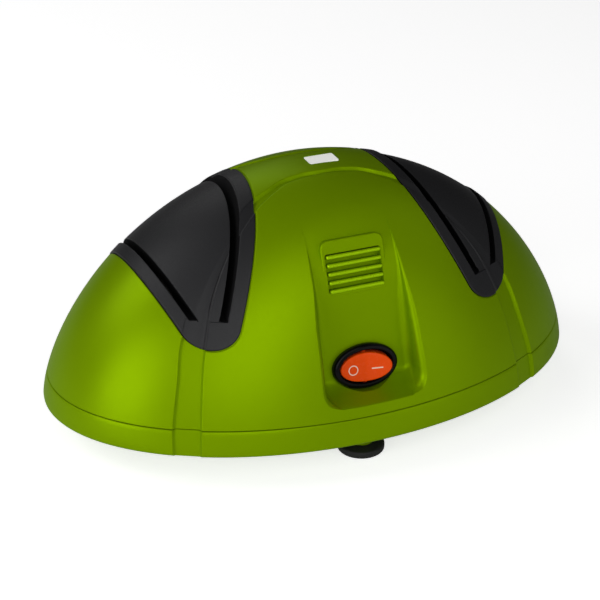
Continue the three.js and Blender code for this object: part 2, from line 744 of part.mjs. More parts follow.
// Guide insert: a V-shaped shell with two leaning slots and free space for the wheel on its shaft
function guideInsert() {
  const skin = dome(0);
  const shifted = skin.translate([insertShift, 0, 0]).intersect(notch(gap));
  const outside = cut(shifted, cut(tongueZone(), skin.translate([tongueShift, 0, -tongueDrop])));
  const guides = [-1, 1].map((side) =>
    slotSlab(side, slotWidth + 2 * slotGuideWall, slotFloorHeight - slotGuideWall));
  const hollow = cut(domeHollow(housingWall).intersect(notch(gap + insertWall)), ...guides);
  const openSlots = [-1, 1].map((side) => slotSlab(side, slotWidth, slotFloorHeight));
  const wheelSpace = disc(
    wheelRadius + wheelRoom, wheelIn - wheelRoom, wheelOut + wheelRoom, wheelSides, shaftFrame,
  );
  const shaftSpace = disc(flangeRadius + wheelRoom, 0, housingLength / 2, wheelSides, shaftFrame);
  return cut(outside, hollow, ...openSlots, wheelSpace, shaftSpace, ...ribbons);
}
const insertGeometry = geometryOf(guideInsert());
addPiece(stationary, 'right_guide_insert', insertGeometry, 'blackPlastic');
addPiece(stationary, 'left_guide_insert', mirroredX(insertGeometry), 'blackPlastic');

// White plate in the crown
function topPlate() {
  const top = fromRim(domeHeight) - plateSettle;
  const outline = roundedRectangle(plateLength / 2, plateWidth / 2, plateCornerRadius);
  return prism(outline, top - plateThickness, top).translate([plateOffset, 0, 0]);
}
addSolid(stationary, 'top_plate', topPlate(), 'whitePlastic');

// Places of the feet
const frontFootSetback = (frontFootShare * housingDepth) / 2;
const sideFootOffset = (sideFootShare * housingLength) / 2;
const footPlaces = [
  ['front', 0, -frontFootSetback], ['rear', 0, frontFootSetback],
  ['left', -sideFootOffset, 0], ['right', sideFootOffset, 0],
];

// Base tray: ring, floor, inner lip, foot bosses, screw sleeves, motor saddles and posts
const postPlaces = [[-1, -1], [1, -1], [-1, 1], [1, 1]].map(([x, y]) =>
  [
    boardOffset + x * (boardLength / 2 - boardHoleMargin),
    boardSetback + y * (boardWidth / 2 - boardHoleMargin),
  ]);

function motorSaddle(x) {
  const outline = new THREE.Shape();
  const top = shaftZ - saddleDrop;
  const radius = canRadius + gap;
  const turn = Math.asin(saddleDrop / radius);
  outline.moveTo(-saddleHalfWidth, trayFloorTop - weld);
  outline.lineTo(saddleHalfWidth, trayFloorTop - weld);
  outline.lineTo(saddleHalfWidth, top);
  outline.absarc(0, shaftZ, radius, -turn, turn - halfTurn, true);
  outline.lineTo(-saddleHalfWidth, top);
  const plate = prism(outline, x - saddleThickness / 2, x + saddleThickness / 2, sideFrame, 14);
  const bores = [-1, 1].map((side) =>
    disc(smallShankRadius + gap, top - strapScrewLength, top + overrun, smallSides)
      .translate([x, side * strapScrewSetback, 0]));
  return cut(plate, ...bores);
}

function baseTray() {
  const ringTop = partingHeight - gap / 2;
  const lipInset = housingWall + gap;
  const ring = domeSweep([
    [0, rimHeight], [0, ringTop], [lipInset, ringTop], [lipInset, ringTop + lipRise],
    [lipInset + lipThickness, ringTop + lipRise], [lipInset + lipThickness, ringTop - lipRoot],
    [housingWall, ringTop - lipRoot - lipThickness], [housingWall, rimHeight],
  ]);
  const floorPlate = domeBand(housingWall - weld, trayFloorLow, trayFloorTop);
  const bosses = footPlaces.map(([, x, y]) => turned([
    [footStemRadius + gap, footThickness + gap], [footBossLowRadius, footThickness + gap],
    [footBossTopRadius, trayFloorLow + weld], [footStemRadius + gap, trayFloorLow + weld],
  ], turnedSides).translate([x, y, 0]));
  const sleeves = columnPlaces.map(([, x, y]) =>
    disc(sleeveRadius, trayFloorLow, sleeveTop, turnedSides).translate([x, y, 0]));
  const sleeveBores = columnPlaces.map(([, x, y]) => joined(
    disc(screwShankRadius + gap, rimHeight, sleeveTop + overrun, smallSides),
    disc(screwHeadRadius + gap, rimHeight, screwHeadLow + screwHeadHeight + gap, smallSides),
  ).translate([x, y, 0]));
  const stemBores = footPlaces.map(([, x, y]) =>
    disc(footStemRadius + gap, 0, footThickness + footStemLength + 2 * gap, smallSides)
      .translate([x, y, 0]));
  const posts = postPlaces.map(([x, y]) => cut(
    disc(postRadius, trayFloorTop - weld, trayFloorTop + postHeight, smallSides),
    disc(smallShankRadius + gap, trayFloorTop, trayFloorTop + postHeight + overrun, smallSides),
  ).translate([x, y, 0]));
  const vents = Array.from({ length: ventCount }, (_, i) => {
    const x = (i - (ventCount - 1) / 2) * ventPitch;
    const outline = stadium(ventLength / 2, ventWidth / 2);
    const acrossX = new THREE.Matrix4().makeRotationZ(quarterTurn);
    return prism(outline, rimHeight, trayFloorTop + gap, acrossX, 2).translate([x, 0, 0]);
  });
  const whole = joined(ring, floorPlate, ...bosses, ...sleeves, ...posts,
    motorSaddle(-saddleOffset), motorSaddle(saddleOffset));
  return cut(whole, ...sleeveBores, ...stemBores, ...vents, ...ribbons);
}
addSolid(stationary, 'base_tray', baseTray(), 'greenPlastic');

// Feet: rubber discs with a shallow cup below and a stem pushed up into the tray's boss
function foot() {
  return turned([
    [0, footCupDepth], [footCupRadius, footCupDepth], [footCupRadius + footCupDepth, 0],
    [footRadius - footLipRound, 0], [footRadius, footLipRound],
    [footRadius, footThickness - footLipRound], [footRadius - footLipRound, footThickness],
    [footStemRadius, footThickness], [footStemRadius, footThickness + footStemLength],
    [0, footThickness + footStemLength],
  ], footSides);
}
for (const [name, x, y] of footPlaces) {
  addSolid(stationary, `foot_${name}`, foot(), 'blackRubber').position.set(x, y, 0);
}

// Screws from below through the tray's sleeves into the housing's columns
function screw(shank, length, head, headHeight) {
  const slope = headHeight / 3;
  return turned([
    [0, 0], [head - slope, 0], [head, slope], [head, headHeight], [shank, headHeight],
    [shank, headHeight + length - shank], [0, headHeight + length],
  ], smallSides);
}
const housingScrewLength = screwTip - screwHeadLow - screwHeadHeight;
for (const [name, x, y] of columnPlaces) {
  const body = screw(screwShankRadius, housingScrewLength, screwHeadRadius, screwHeadHeight);
  addSolid(stationary, `housing_screw_${name}`, body, 'zincSteel').position.set(x, y, screwHeadLow);
}

// Switch: oval bezel, neck and block in one moulding, with a well for the rocker
const pivotFrame = switchFrame.clone().multiply(
  new THREE.Matrix4().makeTranslation(0, 0, bezelRise - rockerPivotDepth),
);
function ovalRings(rows, matrix) {
  return loft(rows.map(([halfLength, halfWidth, height]) =>
    Array.from({ length: ovalSides }, (_, i) => {
      const turn = (i / ovalSides) * fullTurn;
      return point(halfLength * Math.cos(turn), halfWidth * Math.sin(turn), height).applyMatrix4(matrix);
    })));
}
function trunnions(radius, reach, matrix) {
  const alongSlope = matrix.clone().multiply(frame(origin, axisX, point(0, 0, -1), axisY));
  return disc(radius, -reach, reach, smallSides, alongSlope);
}
function switchBody() {
  const round = bezelRise / 3;
  const bezel = ovalRings([
    [bezelHalfLength, bezelHalfWidth, gap], [bezelHalfLength, bezelHalfWidth, bezelRise - 2 * round],
    [bezelHalfLength - round / 2, bezelHalfWidth - round / 2, bezelRise - round / 2],
    [bezelHalfLength - 2 * round, bezelHalfWidth - 2 * round, bezelRise],
  ], switchFrame);
  const neck = ovalPrism(
    switchNeckHalfLength, switchNeckHalfWidth, -switchNeckDepth, bezelRise / 2, switchFrame,
  );
  const blockOutline = rectangle(
    -switchBlockLength / 2, -switchBlockWidth / 2, switchBlockLength / 2, switchBlockWidth / 2,
  );
  const block = prism(blockOutline, -switchBlockDepth, -switchNeckDepth / 2, switchFrame);
  const well = ovalPrism(wellHalfLength, wellHalfWidth, bezelRise - wellDepth, overrun, switchFrame);
  const sockets = trunnions(
    trunnionRadius + gap, wellHalfWidth - rockerClearance + trunnionReach + gap, pivotFrame,
  );
  const slots = [-1, 1].map((side) => prism(
    rectangle(-terminalWidth / 2 - gap, -terminalThickness / 2 - gap,
      terminalWidth / 2 + gap, terminalThickness / 2 + gap),
    -switchBlockDepth - overrun, -switchBlockDepth + terminalRoot + gap,
    switchFrame.clone().multiply(new THREE.Matrix4().makeTranslation((side * terminalSpacing) / 2, 0, 0)),
  ));
  return cut(joined(bezel, neck, block), well, sockets, ...slots);
}
addSolid(stationary, 'switch_body', switchBody(), 'glossBlack');

// Terminal blades behind the switch
for (const [name, side] of [['left', -1], ['right', 1]]) {
  const shift = new THREE.Matrix4().makeTranslation((side * terminalSpacing) / 2, 0, 0);
  const [half, halfThick] = [terminalWidth / 2, terminalThickness / 2];
  const outline = rectangle(-half, -halfThick, half, halfThick);
  const blade = prism(
    outline, terminalRoot - switchBlockDepth - terminalLength, terminalRoot - switchBlockDepth,
    switchFrame.clone().multiply(shift),
  );
  addSolid(stationary, `switch_terminal_${name}`, blade, 'brass');
}

// Rocker: an oval button on trunnions, its face bent in the middle; it rests with the O side pressed
function rockerBody() {
  const rest = new THREE.Matrix4().makeRotationY(-rockerTilt);
  const placed = pivotFrame.clone().multiply(rest);
  const halfLength = wellHalfLength - rockerClearance;
  const halfWidth = wellHalfWidth - rockerClearance;
  const faceEnd = rockerRise + halfLength * Math.tan(rockerFaceLean);
  const sideOutline = polygon([
    [-halfLength, -rockerSkirt], [halfLength, -rockerSkirt], [halfLength, faceEnd],
    [0, rockerRise], [-halfLength, faceEnd],
  ]);
  const acrossSlope = frame(origin, axisX, axisZ, minusY);
  const body = ovalPrism(halfLength, halfWidth, -rockerSkirt, overrun, placed)
    .intersect(prism(sideOutline, -farOut, farOut, placed.clone().multiply(acrossSlope)));
  return joined(body, trunnions(trunnionRadius, halfWidth + trunnionReach, placed));
}
addSolid(sharpener, 'switch_rocker', rockerBody(), 'orangePlastic');

// Motor case: a deep cup with a bearing boss, and a plastic cap that closes its right end
function motorCan() {
  const inner = canRadius - canWall;
  const pocket = bearingRadius + gap;
  const hole = shaftRadius + 2 * gap;
  const bossEnd = canLeftEnd - bearingBossLength;
  return turned([
    [canRadius, canRightEnd], [canRadius, canLeftEnd], [bearingBossRadius, canLeftEnd],
    [bearingBossRadius, bossEnd], [hole, bossEnd], [hole, bossEnd + bearingStopThickness],
    [pocket, bossEnd + bearingStopThickness], [pocket, canLeftEnd + canWall],
    [inner, canLeftEnd + canWall], [inner, canRightEnd],
  ], wheelSides, shaftFrame);
}
addSolid(stationary, 'motor_can', motorCan(), 'zincSteel');

const capLeft = canRightEnd + gap;
const capRight = capLeft + capThickness;
const capInner = capLeft + capThickness / 2;
const brushMiddle = capInner - brushSetback;
const tabSetback = commutatorRadius + gap + brushLength + 2 * gap;
function motorCap() {
  const spigot = canRadius - canWall - gap;
  const pocket = bearingRadius + gap;
  const hole = shaftRadius + 2 * gap;
  const bossEnd = capRight + bearingBossLength;
  const plate = turned([
    [spigot, capLeft - capInset], [spigot, capLeft], [canRadius, capLeft], [canRadius, capRight],
    [bearingBossRadius, capRight], [bearingBossRadius, bossEnd], [hole, bossEnd],
    [hole, bossEnd - bearingStopThickness], [pocket, bossEnd - bearingStopThickness],
    [pocket, capInner], [spigot - canWall, capInner], [spigot - canWall, capLeft - capInset],
  ], wheelSides, shaftFrame);
  const half = brushWidth / 2 + gap;
  const holders = [-1, 1].map((side) => {
    const low = commutatorRadius + 3 * gap;
    const outline = rectangle(
      brushMiddle - half - brushHolderWall, low, capInner + weld, low + brushHolderLength,
    );
    const block = prism(outline, shaftZ - half - brushHolderWall, shaftZ + half + brushHolderWall);
    const channel = prism(
      rectangle(brushMiddle - half, 0, brushMiddle + half, farOut), shaftZ - half, shaftZ + half,
    );
    const tabSlot = prism(
      rectangle(0, tabSetback - gap, farOut, tabSetback + brushTabThickness + gap),
      shaftZ - half, shaftZ + half,
    );
    const turn = side > 0 ? 0 : halfTurn;
    return [block, channel, tabSlot].map((body) =>
      solid(geometryOf(body).translate(0, 0, -shaftZ).rotateX(turn).translate(0, 0, shaftZ)));
  });
  const blocks = holders.map((row) => row[0]);
  const cuts = holders.flatMap((row) => row.slice(1));
  const room = tube(bearingRadius + gap, canRadius, capLeft - capInset, capInner, wheelSides, shaftFrame);
  const limits = joined(room, plate);
  const cleared = cuts.map((body) => body.intersect(slab(shaftZ - canRadius, shaftZ + canRadius)));
  return cut(joined(plate, ...blocks), ...cleared).intersect(joined(limits, ...blocks));
}
addSolid(stationary, 'motor_cap', motorCap(), 'blackPlastic');

// Bearings at both ends of the motor
for (const [name, low] of [
  ['left', canLeftEnd - bearingBossLength + bearingStopThickness + gap],
  ['right', capRight + bearingBossLength - bearingStopThickness - gap - bearingLength],
]) {
  const ring = tube(shaftRadius + gap, bearingRadius, low, low + bearingLength, turnedSides, shaftFrame);
  addSolid(stationary, `bearing_${name}`, ring, 'steel');
}

// Magnets: two arcs inside the case
function magnet(side) {
  const outer = canRadius - canWall - gap;
  const inner = outer - magnetThickness;
  const middle = side * quarterTurn;
  const shape = new THREE.Shape();
  shape.absarc(0, 0, outer, middle - magnetSpan / 2, middle + magnetSpan / 2);
  shape.absarc(0, 0, inner, middle + magnetSpan / 2, middle - magnetSpan / 2, true);
  const low = coreMiddle - magnetLength / 2;
  return prism(shape, low, low + magnetLength, shaftFrame, 12);
}
addSolid(stationary, 'magnet_upper', magnet(1), 'ferrite');
addSolid(stationary, 'magnet_lower', magnet(-1), 'ferrite');

// Brushes on the commutator, and the brass tabs that close their holders
for (const [name, side] of [['front', -1], ['rear', 1]]) {
  const near = side * (commutatorRadius + gap);
  const far = side * (commutatorRadius + gap + brushLength);
  const half = brushWidth / 2;
  const brush = prism(
    rectangle(brushMiddle - half, Math.min(near, far), brushMiddle + half, Math.max(near, far)),
    shaftZ - half, shaftZ + half,
  );
  addSolid(stationary, `brush_${name}`, brush, 'carbon');
  const [tabNear, tabFar] = [side * tabSetback, side * (tabSetback + brushTabThickness)];
  const tab = prism(
    rectangle(brushMiddle - half, Math.min(tabNear, tabFar),
      brushMiddle - half + brushTabLength, Math.max(tabNear, tabFar)),
    shaftZ - half, shaftZ + half,
  );
  addSolid(stationary, `brush_tab_${name}`, tab, 'brass');
}

// Straps that hold the motor down on its saddles, and their screws
const earLow = shaftZ - saddleDrop + gap;
function motorStrap() {
  const inner = canRadius + gap;
  const outer = inner + strapThickness;
  const innerTurn = Math.asin((shaftZ - earLow) / inner);
  const earTop = earLow + strapThickness;
  const outerTurn = Math.asin((shaftZ - earTop) / outer);
  const shape = new THREE.Shape();
  shape.moveTo(saddleHalfWidth, earLow);
  shape.lineTo(saddleHalfWidth, earTop);
  shape.absarc(0, shaftZ, outer, -outerTurn, halfTurn + outerTurn);
  shape.lineTo(-saddleHalfWidth, earTop);
  shape.lineTo(-saddleHalfWidth, earLow);
  shape.absarc(0, shaftZ, inner, halfTurn + innerTurn, -innerTurn, true);
  const band = prism(shape, -strapWidth / 2, strapWidth / 2, sideFrame, 16);
  const holes = [-1, 1].map((side) =>
    disc(smallShankRadius + gap, earLow - overrun, earTop + overrun, smallSides)
      .translate([0, side * strapScrewSetback, 0]));
  return cut(band, ...holes);
}
for (const [end, x] of [['left', -saddleOffset], ['right', saddleOffset]]) {
  addSolid(stationary, `motor_strap_${end}`, motorStrap(), 'zincSteel').position.x = x;
  for (const [edge, side] of [['front', -1], ['rear', 1]]) {
    const body = screw(smallShankRadius, strapScrewLength, smallHeadRadius, smallHeadHeight);
    const piece = addSolid(stationary, `strap_screw_${end}_${edge}`, body, 'zincSteel');
    const top = earLow + strapThickness + gap + smallHeadHeight;
    piece.rotation.x = halfTurn;
    piece.position.set(x, side * strapScrewSetback, top);
  }
}

// Rotor: shaft, laminated core, winding, commutator, fan and the two wheel sets
const rotorShaft = disc(shaftRadius, -shaftLength / 2, shaftLength / 2, smallSides, shaftFrame);
addSolid(rotor, 'rotor_shaft', rotorShaft, 'steel');

const coreLow = coreMiddle - coreLength / 2;
const coreHigh = coreMiddle + coreLength / 2;
const slotTurns = Array.from({ length: coreSlots }, (_, i) => (i / coreSlots) * fullTurn);
const rodAt = (turn, radius, low, high, sides) => disc(radius, low, high, sides, shaftFrame.clone().multiply(
  new THREE.Matrix4().makeTranslation(coreSlotCircle * Math.cos(turn), coreSlotCircle * Math.sin(turn), 0),
));
function armatureCore() {
  const body = tube(shaftRadius + gap, coreRadius, coreLow, coreHigh, wheelSides, shaftFrame);
  const slots = slotTurns.map((turn) => {
    const slit = prism(
      rectangle(coreSlotCircle, -coreSlitWidth / 2, farOut, coreSlitWidth / 2),
      coreLow - overrun, coreHigh + overrun,
      shaftFrame.clone().multiply(new THREE.Matrix4().makeRotationZ(turn)),
    );
    return joined(rodAt(turn, coreSlotRadius + gap, coreLow - overrun, coreHigh + overrun, smallSides), slit);
  });
  return cut(body, ...slots);
}
addSolid(rotor, 'armature_core', armatureCore(), 'zincSteel');

function armatureWinding() {
  const rods = slotTurns.map((turn) =>
    rodAt(turn, coreSlotRadius, coreLow - gap - weld, coreHigh + gap + weld, leadSides));
  const bundle = (low, high) => {
    const round = endTurnThickness / 4;
    const inner = shaftRadius + gap;
    return turned([
      [inner, low], [endTurnRadius - round, low], [endTurnRadius, low + round],
      [endTurnRadius, high - round], [endTurnRadius - round, high], [inner, high],
    ], turnedSides, shaftFrame);
  };
  const left = bundle(coreLow - gap - endTurnThickness, coreLow - gap);
  const right = bundle(coreHigh + gap, coreHigh + gap + endTurnThickness);
  return joined(left, right, ...rods);
}
addSolid(rotor, 'armature_winding', armatureWinding(), 'copper');

const commutatorLow = brushMiddle - commutatorLength / 2;
function commutator() {
  const high = commutatorLow + commutatorLength;
  const drum = tube(shaftRadius + gap, commutatorRadius, commutatorLow, high, turnedSides, shaftFrame);
  const slits = slotTurns.map((turn) => prism(
    rectangle(commutatorRadius - commutatorSlit, -commutatorSlit / 2, farOut, commutatorSlit / 2),
    commutatorLow - overrun, high + overrun,
    shaftFrame.clone().multiply(new THREE.Matrix4().makeRotationZ(turn)),
  ));
  return cut(drum, ...slits);
}
addSolid(rotor, 'commutator', commutator(), 'copper');

function coolingFan() {
  const low = fanOffset - fanWidth / 2;
  const high = fanOffset + fanWidth / 2;
  const hub = turned([
    [shaftRadius + gap, low], [fanRadius, low], [fanRadius, low + fanDiscThickness],
    [fanHubRadius, low + fanDiscThickness], [fanHubRadius, high], [shaftRadius + gap, high],
  ], wheelSides, shaftFrame);
  const blades = Array.from({ length: fanBladeCount }, (_, i) => {
    const shape = new THREE.Shape();
    const middle = (fanHubRadius + fanRadius) / 2;
    const radius = (fanRadius - fanHubRadius) / 2;
    shape.absarc(middle, 0, radius, fanBladeRoot, fanBladeTip, true);
    shape.absarc(middle, 0, radius - fanBladeThickness, fanBladeTip, fanBladeRoot);
    const turn = new THREE.Matrix4().makeRotationZ((i / fanBladeCount) * fullTurn);
    return prism(shape, low + fanDiscThickness / 2, high, shaftFrame.clone().multiply(turn), 4);
  });
  const outside = disc(fanRadius, low, high, wheelSides, shaftFrame);
  return joined(hub, ...blades.map((blade) => blade.intersect(outside)));
}
addSolid(rotor, 'cooling_fan', coolingFan(), 'blackPlastic');

// Wheel set: hub with flange, abrasive wheel, washer and nut, from the motor outwards
const wheelSet = {
  wheel_hub: () => turned([
    [shaftRadius + gap, wheelIn - gap - flangeThickness - hubTail],
    [hubRadius + gap, wheelIn - gap - flangeThickness - hubTail],
    [hubRadius + gap, wheelIn - gap - flangeThickness], [flangeRadius, wheelIn - gap - flangeThickness],
    [flangeRadius, wheelIn - gap], [hubRadius, wheelIn - gap],
    [hubRadius, wheelOut - gap], [shaftRadius + gap, wheelOut - gap],
  ], turnedSides, shaftFrame),
  grinding_wheel: () => turned([
    [hubRadius + gap, wheelIn], [wheelRadius - wheelChamfer, wheelIn], [wheelRadius, wheelIn + wheelChamfer],
    [wheelRadius, wheelOut - wheelChamfer], [wheelRadius - wheelChamfer, wheelOut],
    [hubRadius + gap, wheelOut],
  ], wheelSides, shaftFrame),
  wheel_washer: () => tube(
    shaftRadius + gap, washerRadius, wheelOut + gap, wheelOut + gap + washerThickness,
    turnedSides, shaftFrame,
  ),
  wheel_nut: () => {
    const low = wheelOut + 2 * gap + washerThickness;
    const hexagon = disc(nutAcrossFlats / 2 / Math.cos(30 * degree), low, low + nutThickness, 6, shaftFrame);
    return cut(hexagon, disc(shaftRadius + gap, low - overrun, low + overrun, smallSides, shaftFrame));
  },
};
const wheelFinishes = {
  wheel_hub: 'steel', grinding_wheel: 'abrasive', wheel_washer: 'zincSteel', wheel_nut: 'steel',
};
for (const [name, build] of Object.entries(wheelSet)) {
  const geometry = geometryOf(build());
  addPiece(rotor, `${name}_right`, geometry, wheelFinishes[name]);
  addPiece(rotor, `${name}_left`, mirroredX(geometry), wheelFinishes[name]);
}

// Terminal block, board and its parts
function terminalBlock() {
  const low = trayFloorTop + gap;
  const outline = roundedRectangle(blockLength / 2, blockWidth / 2, blockBoreRadius / 2);
  const body = prism(outline, low, low + blockHeight, new THREE.Matrix4(), 2);
  const lay = frame(point(0, 0, low + blockHeight / 2), axisX, axisZ, minusY);
  const holes = [-1, 1].flatMap((side) => {
    const x = (side * blockBoreSpacing) / 2;
    return [
      disc(blockBoreRadius, -blockWidth, blockWidth, smallSides, lay).translate([x, 0, 0]),
      disc(blockBoreRadius, low + blockHeight / 2, low + blockHeight + overrun, smallSides)
        .translate([x, 0, 0]),
    ];
  });
  return cut(body, ...holes).translate([blockOffset, blockSetback, 0]);
}
addSolid(stationary, 'terminal_block', terminalBlock(), 'whitePlastic');

const boardLow = trayFloorTop + postHeight + gap;
const boardTop = boardLow + boardThickness;
function circuitBoard() {
  const outline = rectangle(
    boardOffset - boardLength / 2, boardSetback - boardWidth / 2,
    boardOffset + boardLength / 2, boardSetback + boardWidth / 2,
  );
  const holes = postPlaces.map(([x, y]) =>
    disc(smallShankRadius + gap, boardLow - overrun, boardTop + overrun, smallSides).translate([x, y, 0]));
  return cut(prism(outline, boardLow, boardTop), ...holes);
}
addSolid(stationary, 'circuit_board', circuitBoard(), 'boardGreen');
for (const [name, [x, y]] of [['left', postPlaces[0]], ['right', postPlaces[3]]]) {
  const body = screw(smallShankRadius, boardScrewLength, smallHeadRadius, smallHeadHeight);
  const piece = addSolid(stationary, `board_screw_${name}`, body, 'zincSteel');
  piece.rotation.x = halfTurn;
  piece.position.set(x, y, boardTop + gap + smallHeadHeight);
}
const fromBoardEnd = boardHoleMargin + smallHeadRadius + gap;
const partsHalfLength = boardLength / 2 - fromBoardEnd;
const rectifierPlace = [boardOffset - partsHalfLength + rectifierSize / 2, boardSetback];
const rectifierOutline = roundedRectangle(rectifierSize / 2, rectifierSize / 2, rectifierSize / 8);
const rectifier = prism(rectifierOutline, boardTop + gap, boardTop + gap + rectifierHeight);
addSolid(stationary, 'bridge_rectifier', rectifier, 'carbon').position.set(...rectifierPlace, 0);
const capacitorPlace = [boardOffset + partsHalfLength - capacitorLength / 2, boardSetback];
const capacitorOutline = roundedRectangle(capacitorLength / 2, capacitorWidth / 2, capacitorWidth / 6);
const capacitor = prism(capacitorOutline, boardTop + gap, boardTop + gap + capacitorHeight);
addSolid(stationary, 'capacitor', capacitor, 'greyPlastic').position.set(...capacitorPlace, 0);

// Leads between the terminal block, the switch, the board and the motor
function lead(places) {
  const path = new THREE.CatmullRomCurve3(places.map((place) => point(...place)));
  const section = polygon(Array.from({ length: leadSides }, (_, i) => {
    const turn = (i / leadSides) * fullTurn;
    return [leadRadius * Math.cos(turn), leadRadius * Math.sin(turn)];
  }));
  const steps = places.length * leadStepsShare;
  return solid(new THREE.ExtrudeGeometry(section, { steps, extrudePath: path, bevelEnabled: false }));
}
function bladeEnd(side) {
  const end = point((side * terminalSpacing) / 2, 0, terminalRoot - switchBlockDepth - terminalLength - gap);
  return end.applyMatrix4(switchFrame).toArray();
}
const behind = (place, step) => [place[0], place[1] + step, place[2]];
const blockMouthZ = trayFloorTop + gap + blockHeight / 2;
const blockMouthY = blockSetback - blockWidth / 2 - gap;
const [outerMouth, innerMouth] = [-1, 1].map((side) => blockOffset + (side * blockBoreSpacing) / 2);
const lowRun = trayFloorTop + 3 * leadRadius;
const sideRun = saddleOffset + saddleHalfWidth * sideRunShare;
const frontRun = saddleHalfWidth + 4 * leadRadius;
const bladeClear = terminalSpacing + terminalWidth;
const padZ = boardTop + gap + leadRadius;
const tabEnd = [brushMiddle - brushWidth / 2 + brushTabLength + gap + leadRadius, tabSetback, shaftZ];

addSolid(stationary, 'lead_block_to_switch', lead([
  [outerMouth, blockMouthY, blockMouthZ], [outerMouth, blockMouthY - overrun, lowRun],
  [-sideRun, saddleHalfWidth / 3, lowRun], [-sideRun, -saddleHalfWidth / 2, lowRun],
  [-saddleHalfWidth, -frontRun, lowRun + overrun / 2],
  [-bladeClear, -frontRun, bladeEnd(-1)[2] - overrun / 4],
  behind(bladeEnd(-1), 2 * leadRadius),
]), 'brownLead');
addSolid(stationary, 'lead_switch_to_board', lead([
  behind(bladeEnd(1), 2 * leadRadius), [bladeClear, -frontRun, bladeEnd(1)[2] - overrun / 4],
  [saddleHalfWidth, -frontRun, lowRun + overrun / 2], [sideRun, -saddleHalfWidth / 2, lowRun],
  [sideRun, saddleHalfWidth / 3, lowRun], [boardOffset + boardLength / 3, boardFront - overrun, padZ],
  [boardOffset + boardLength / 3, boardFront + 2 * leadRadius, padZ],
]), 'brownLead');
addSolid(stationary, 'lead_block_to_board', lead([
  [innerMouth, blockMouthY, blockMouthZ],
  [innerMouth + overrun / 2, blockMouthY - overrun / 4, lowRun + overrun / 2],
  [0, blockMouthY - overrun / 4, lowRun], [boardOffset - boardLength / 2 - overrun, boardSetback, padZ],
  [boardOffset - boardLength / 2 + 2 * leadRadius, boardSetback, padZ],
]), 'blueLead');
addSolid(stationary, 'lead_board_to_brush_rear', lead([
  [tabEnd[0], boardFront + 2 * leadRadius, padZ], [tabEnd[0], boardFront - overrun / 2, padZ + overrun],
  tabEnd,
]), 'blueLead');
addSolid(stationary, 'lead_board_to_brush_front', lead([
  [boardOffset - boardLength / 6, boardFront + 2 * leadRadius, padZ],
  [boardOffset - boardLength / 6, boardFront - overrun / 2, padZ],
  [tabEnd[0], boardFront - 2 * overrun, lowRun], [tabEnd[0], -canRadius / 3, lowRun],
  [tabEnd[0], -canRadius, lowRun + 2 * overrun],
  [tabEnd[0], -tabEnd[1], tabEnd[2]],
]), 'brownLead');

// Gland for the supply lead, in the rear wall
function cordGland() {
  const inside = -housingWall - gap;
  const innerEnd = inside - glandFlangeThickness;
  const outerEnd = gap + glandFlangeThickness;
  return turned([
    [glandBoreRadius, innerEnd], [glandFlangeRadius, innerEnd], [glandFlangeRadius, inside],
    [glandNeckRadius, inside], [glandNeckRadius, gap], [glandFlangeRadius, gap],
    [glandFlangeRadius, outerEnd], [glandBoreRadius, outerEnd],
  ], turnedSides, glandFrame);
}
addSolid(stationary, 'cord_gland', cordGland(), 'blackRubber');

export default sharpener;
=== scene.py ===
# %% [markdown]
# # An electric knife sharpener
#
# The machine is a low green dome with a black V-shaped guide near each end. A blade drawn
# through one of the slots meets a grinding wheel that a motor under the dome turns. The packed
# model gives every piece its place and its body, so this lesson dresses it: the moulded pieces
# are made again with finer meshes and rounded edges, and each piece gets a finish of its own.
# Loading the frame comes first, because all sizes below are in its axes.

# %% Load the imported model
import json
import math

import bmesh
import bpy
import numpy as np
from mathutils import Matrix, Vector


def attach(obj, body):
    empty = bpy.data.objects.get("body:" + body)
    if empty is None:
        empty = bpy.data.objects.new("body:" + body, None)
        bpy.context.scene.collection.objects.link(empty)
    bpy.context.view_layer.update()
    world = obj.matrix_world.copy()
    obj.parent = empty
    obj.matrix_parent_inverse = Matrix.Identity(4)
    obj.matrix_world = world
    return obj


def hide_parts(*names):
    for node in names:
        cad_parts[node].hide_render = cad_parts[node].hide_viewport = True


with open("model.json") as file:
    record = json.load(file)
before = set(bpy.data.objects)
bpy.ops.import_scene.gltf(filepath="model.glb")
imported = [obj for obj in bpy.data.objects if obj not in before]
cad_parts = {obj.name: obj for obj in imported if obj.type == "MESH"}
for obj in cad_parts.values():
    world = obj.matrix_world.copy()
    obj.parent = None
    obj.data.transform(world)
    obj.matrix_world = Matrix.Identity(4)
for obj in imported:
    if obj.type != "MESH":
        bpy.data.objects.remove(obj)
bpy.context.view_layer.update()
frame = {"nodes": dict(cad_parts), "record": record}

# %% [markdown]
# ## Sizes
#
# The shapes are worked out in millimetres, as a mould maker would, and only turned into metres
# when a mesh is finished. The values are those of the solid model: the dome's oval plan, the
# powers that bend its two upright sections, the V notches and their slots.

# %% Sizes of the mouldings
MM = 0.001  # one millimetre in metres
GAP = 0.3  # clearance between fitted pieces
OVERRUN = 6.0  # how far a cutter runs past what it cuts
DEGREE = math.pi / 180
housing = dict(length=220.0, depth=139.5, height=86.9, rim=13.7, ring=10.2, wall=2.4)
rise_power = dict(length=1.524, depth=1.22)
round_power = dict(length=2.112, depth=2.343)
notch_size = dict(offset=57.0, tip=28.0, radius=11.0, lean=22.2 * DEGREE, fall=0.22)
slot_size = dict(width=2.7, floor=47.4, guide=1.6, spread=8.35)
rim_move = (0.5, 0.0, 0.0)  # how the insert's two skins are shifted from the dome's own
tongue_move = (1.04, 0.0, -1.2)
insert_wall = 2.2
parting = housing["rim"] + housing["ring"]
crown = housing["rim"] + housing["height"]
crown_flat = 0.06  # the mesh ends in a tiny flat this far under the true crown
print("parting line at", parting, "mm, crown at", crown, "mm")

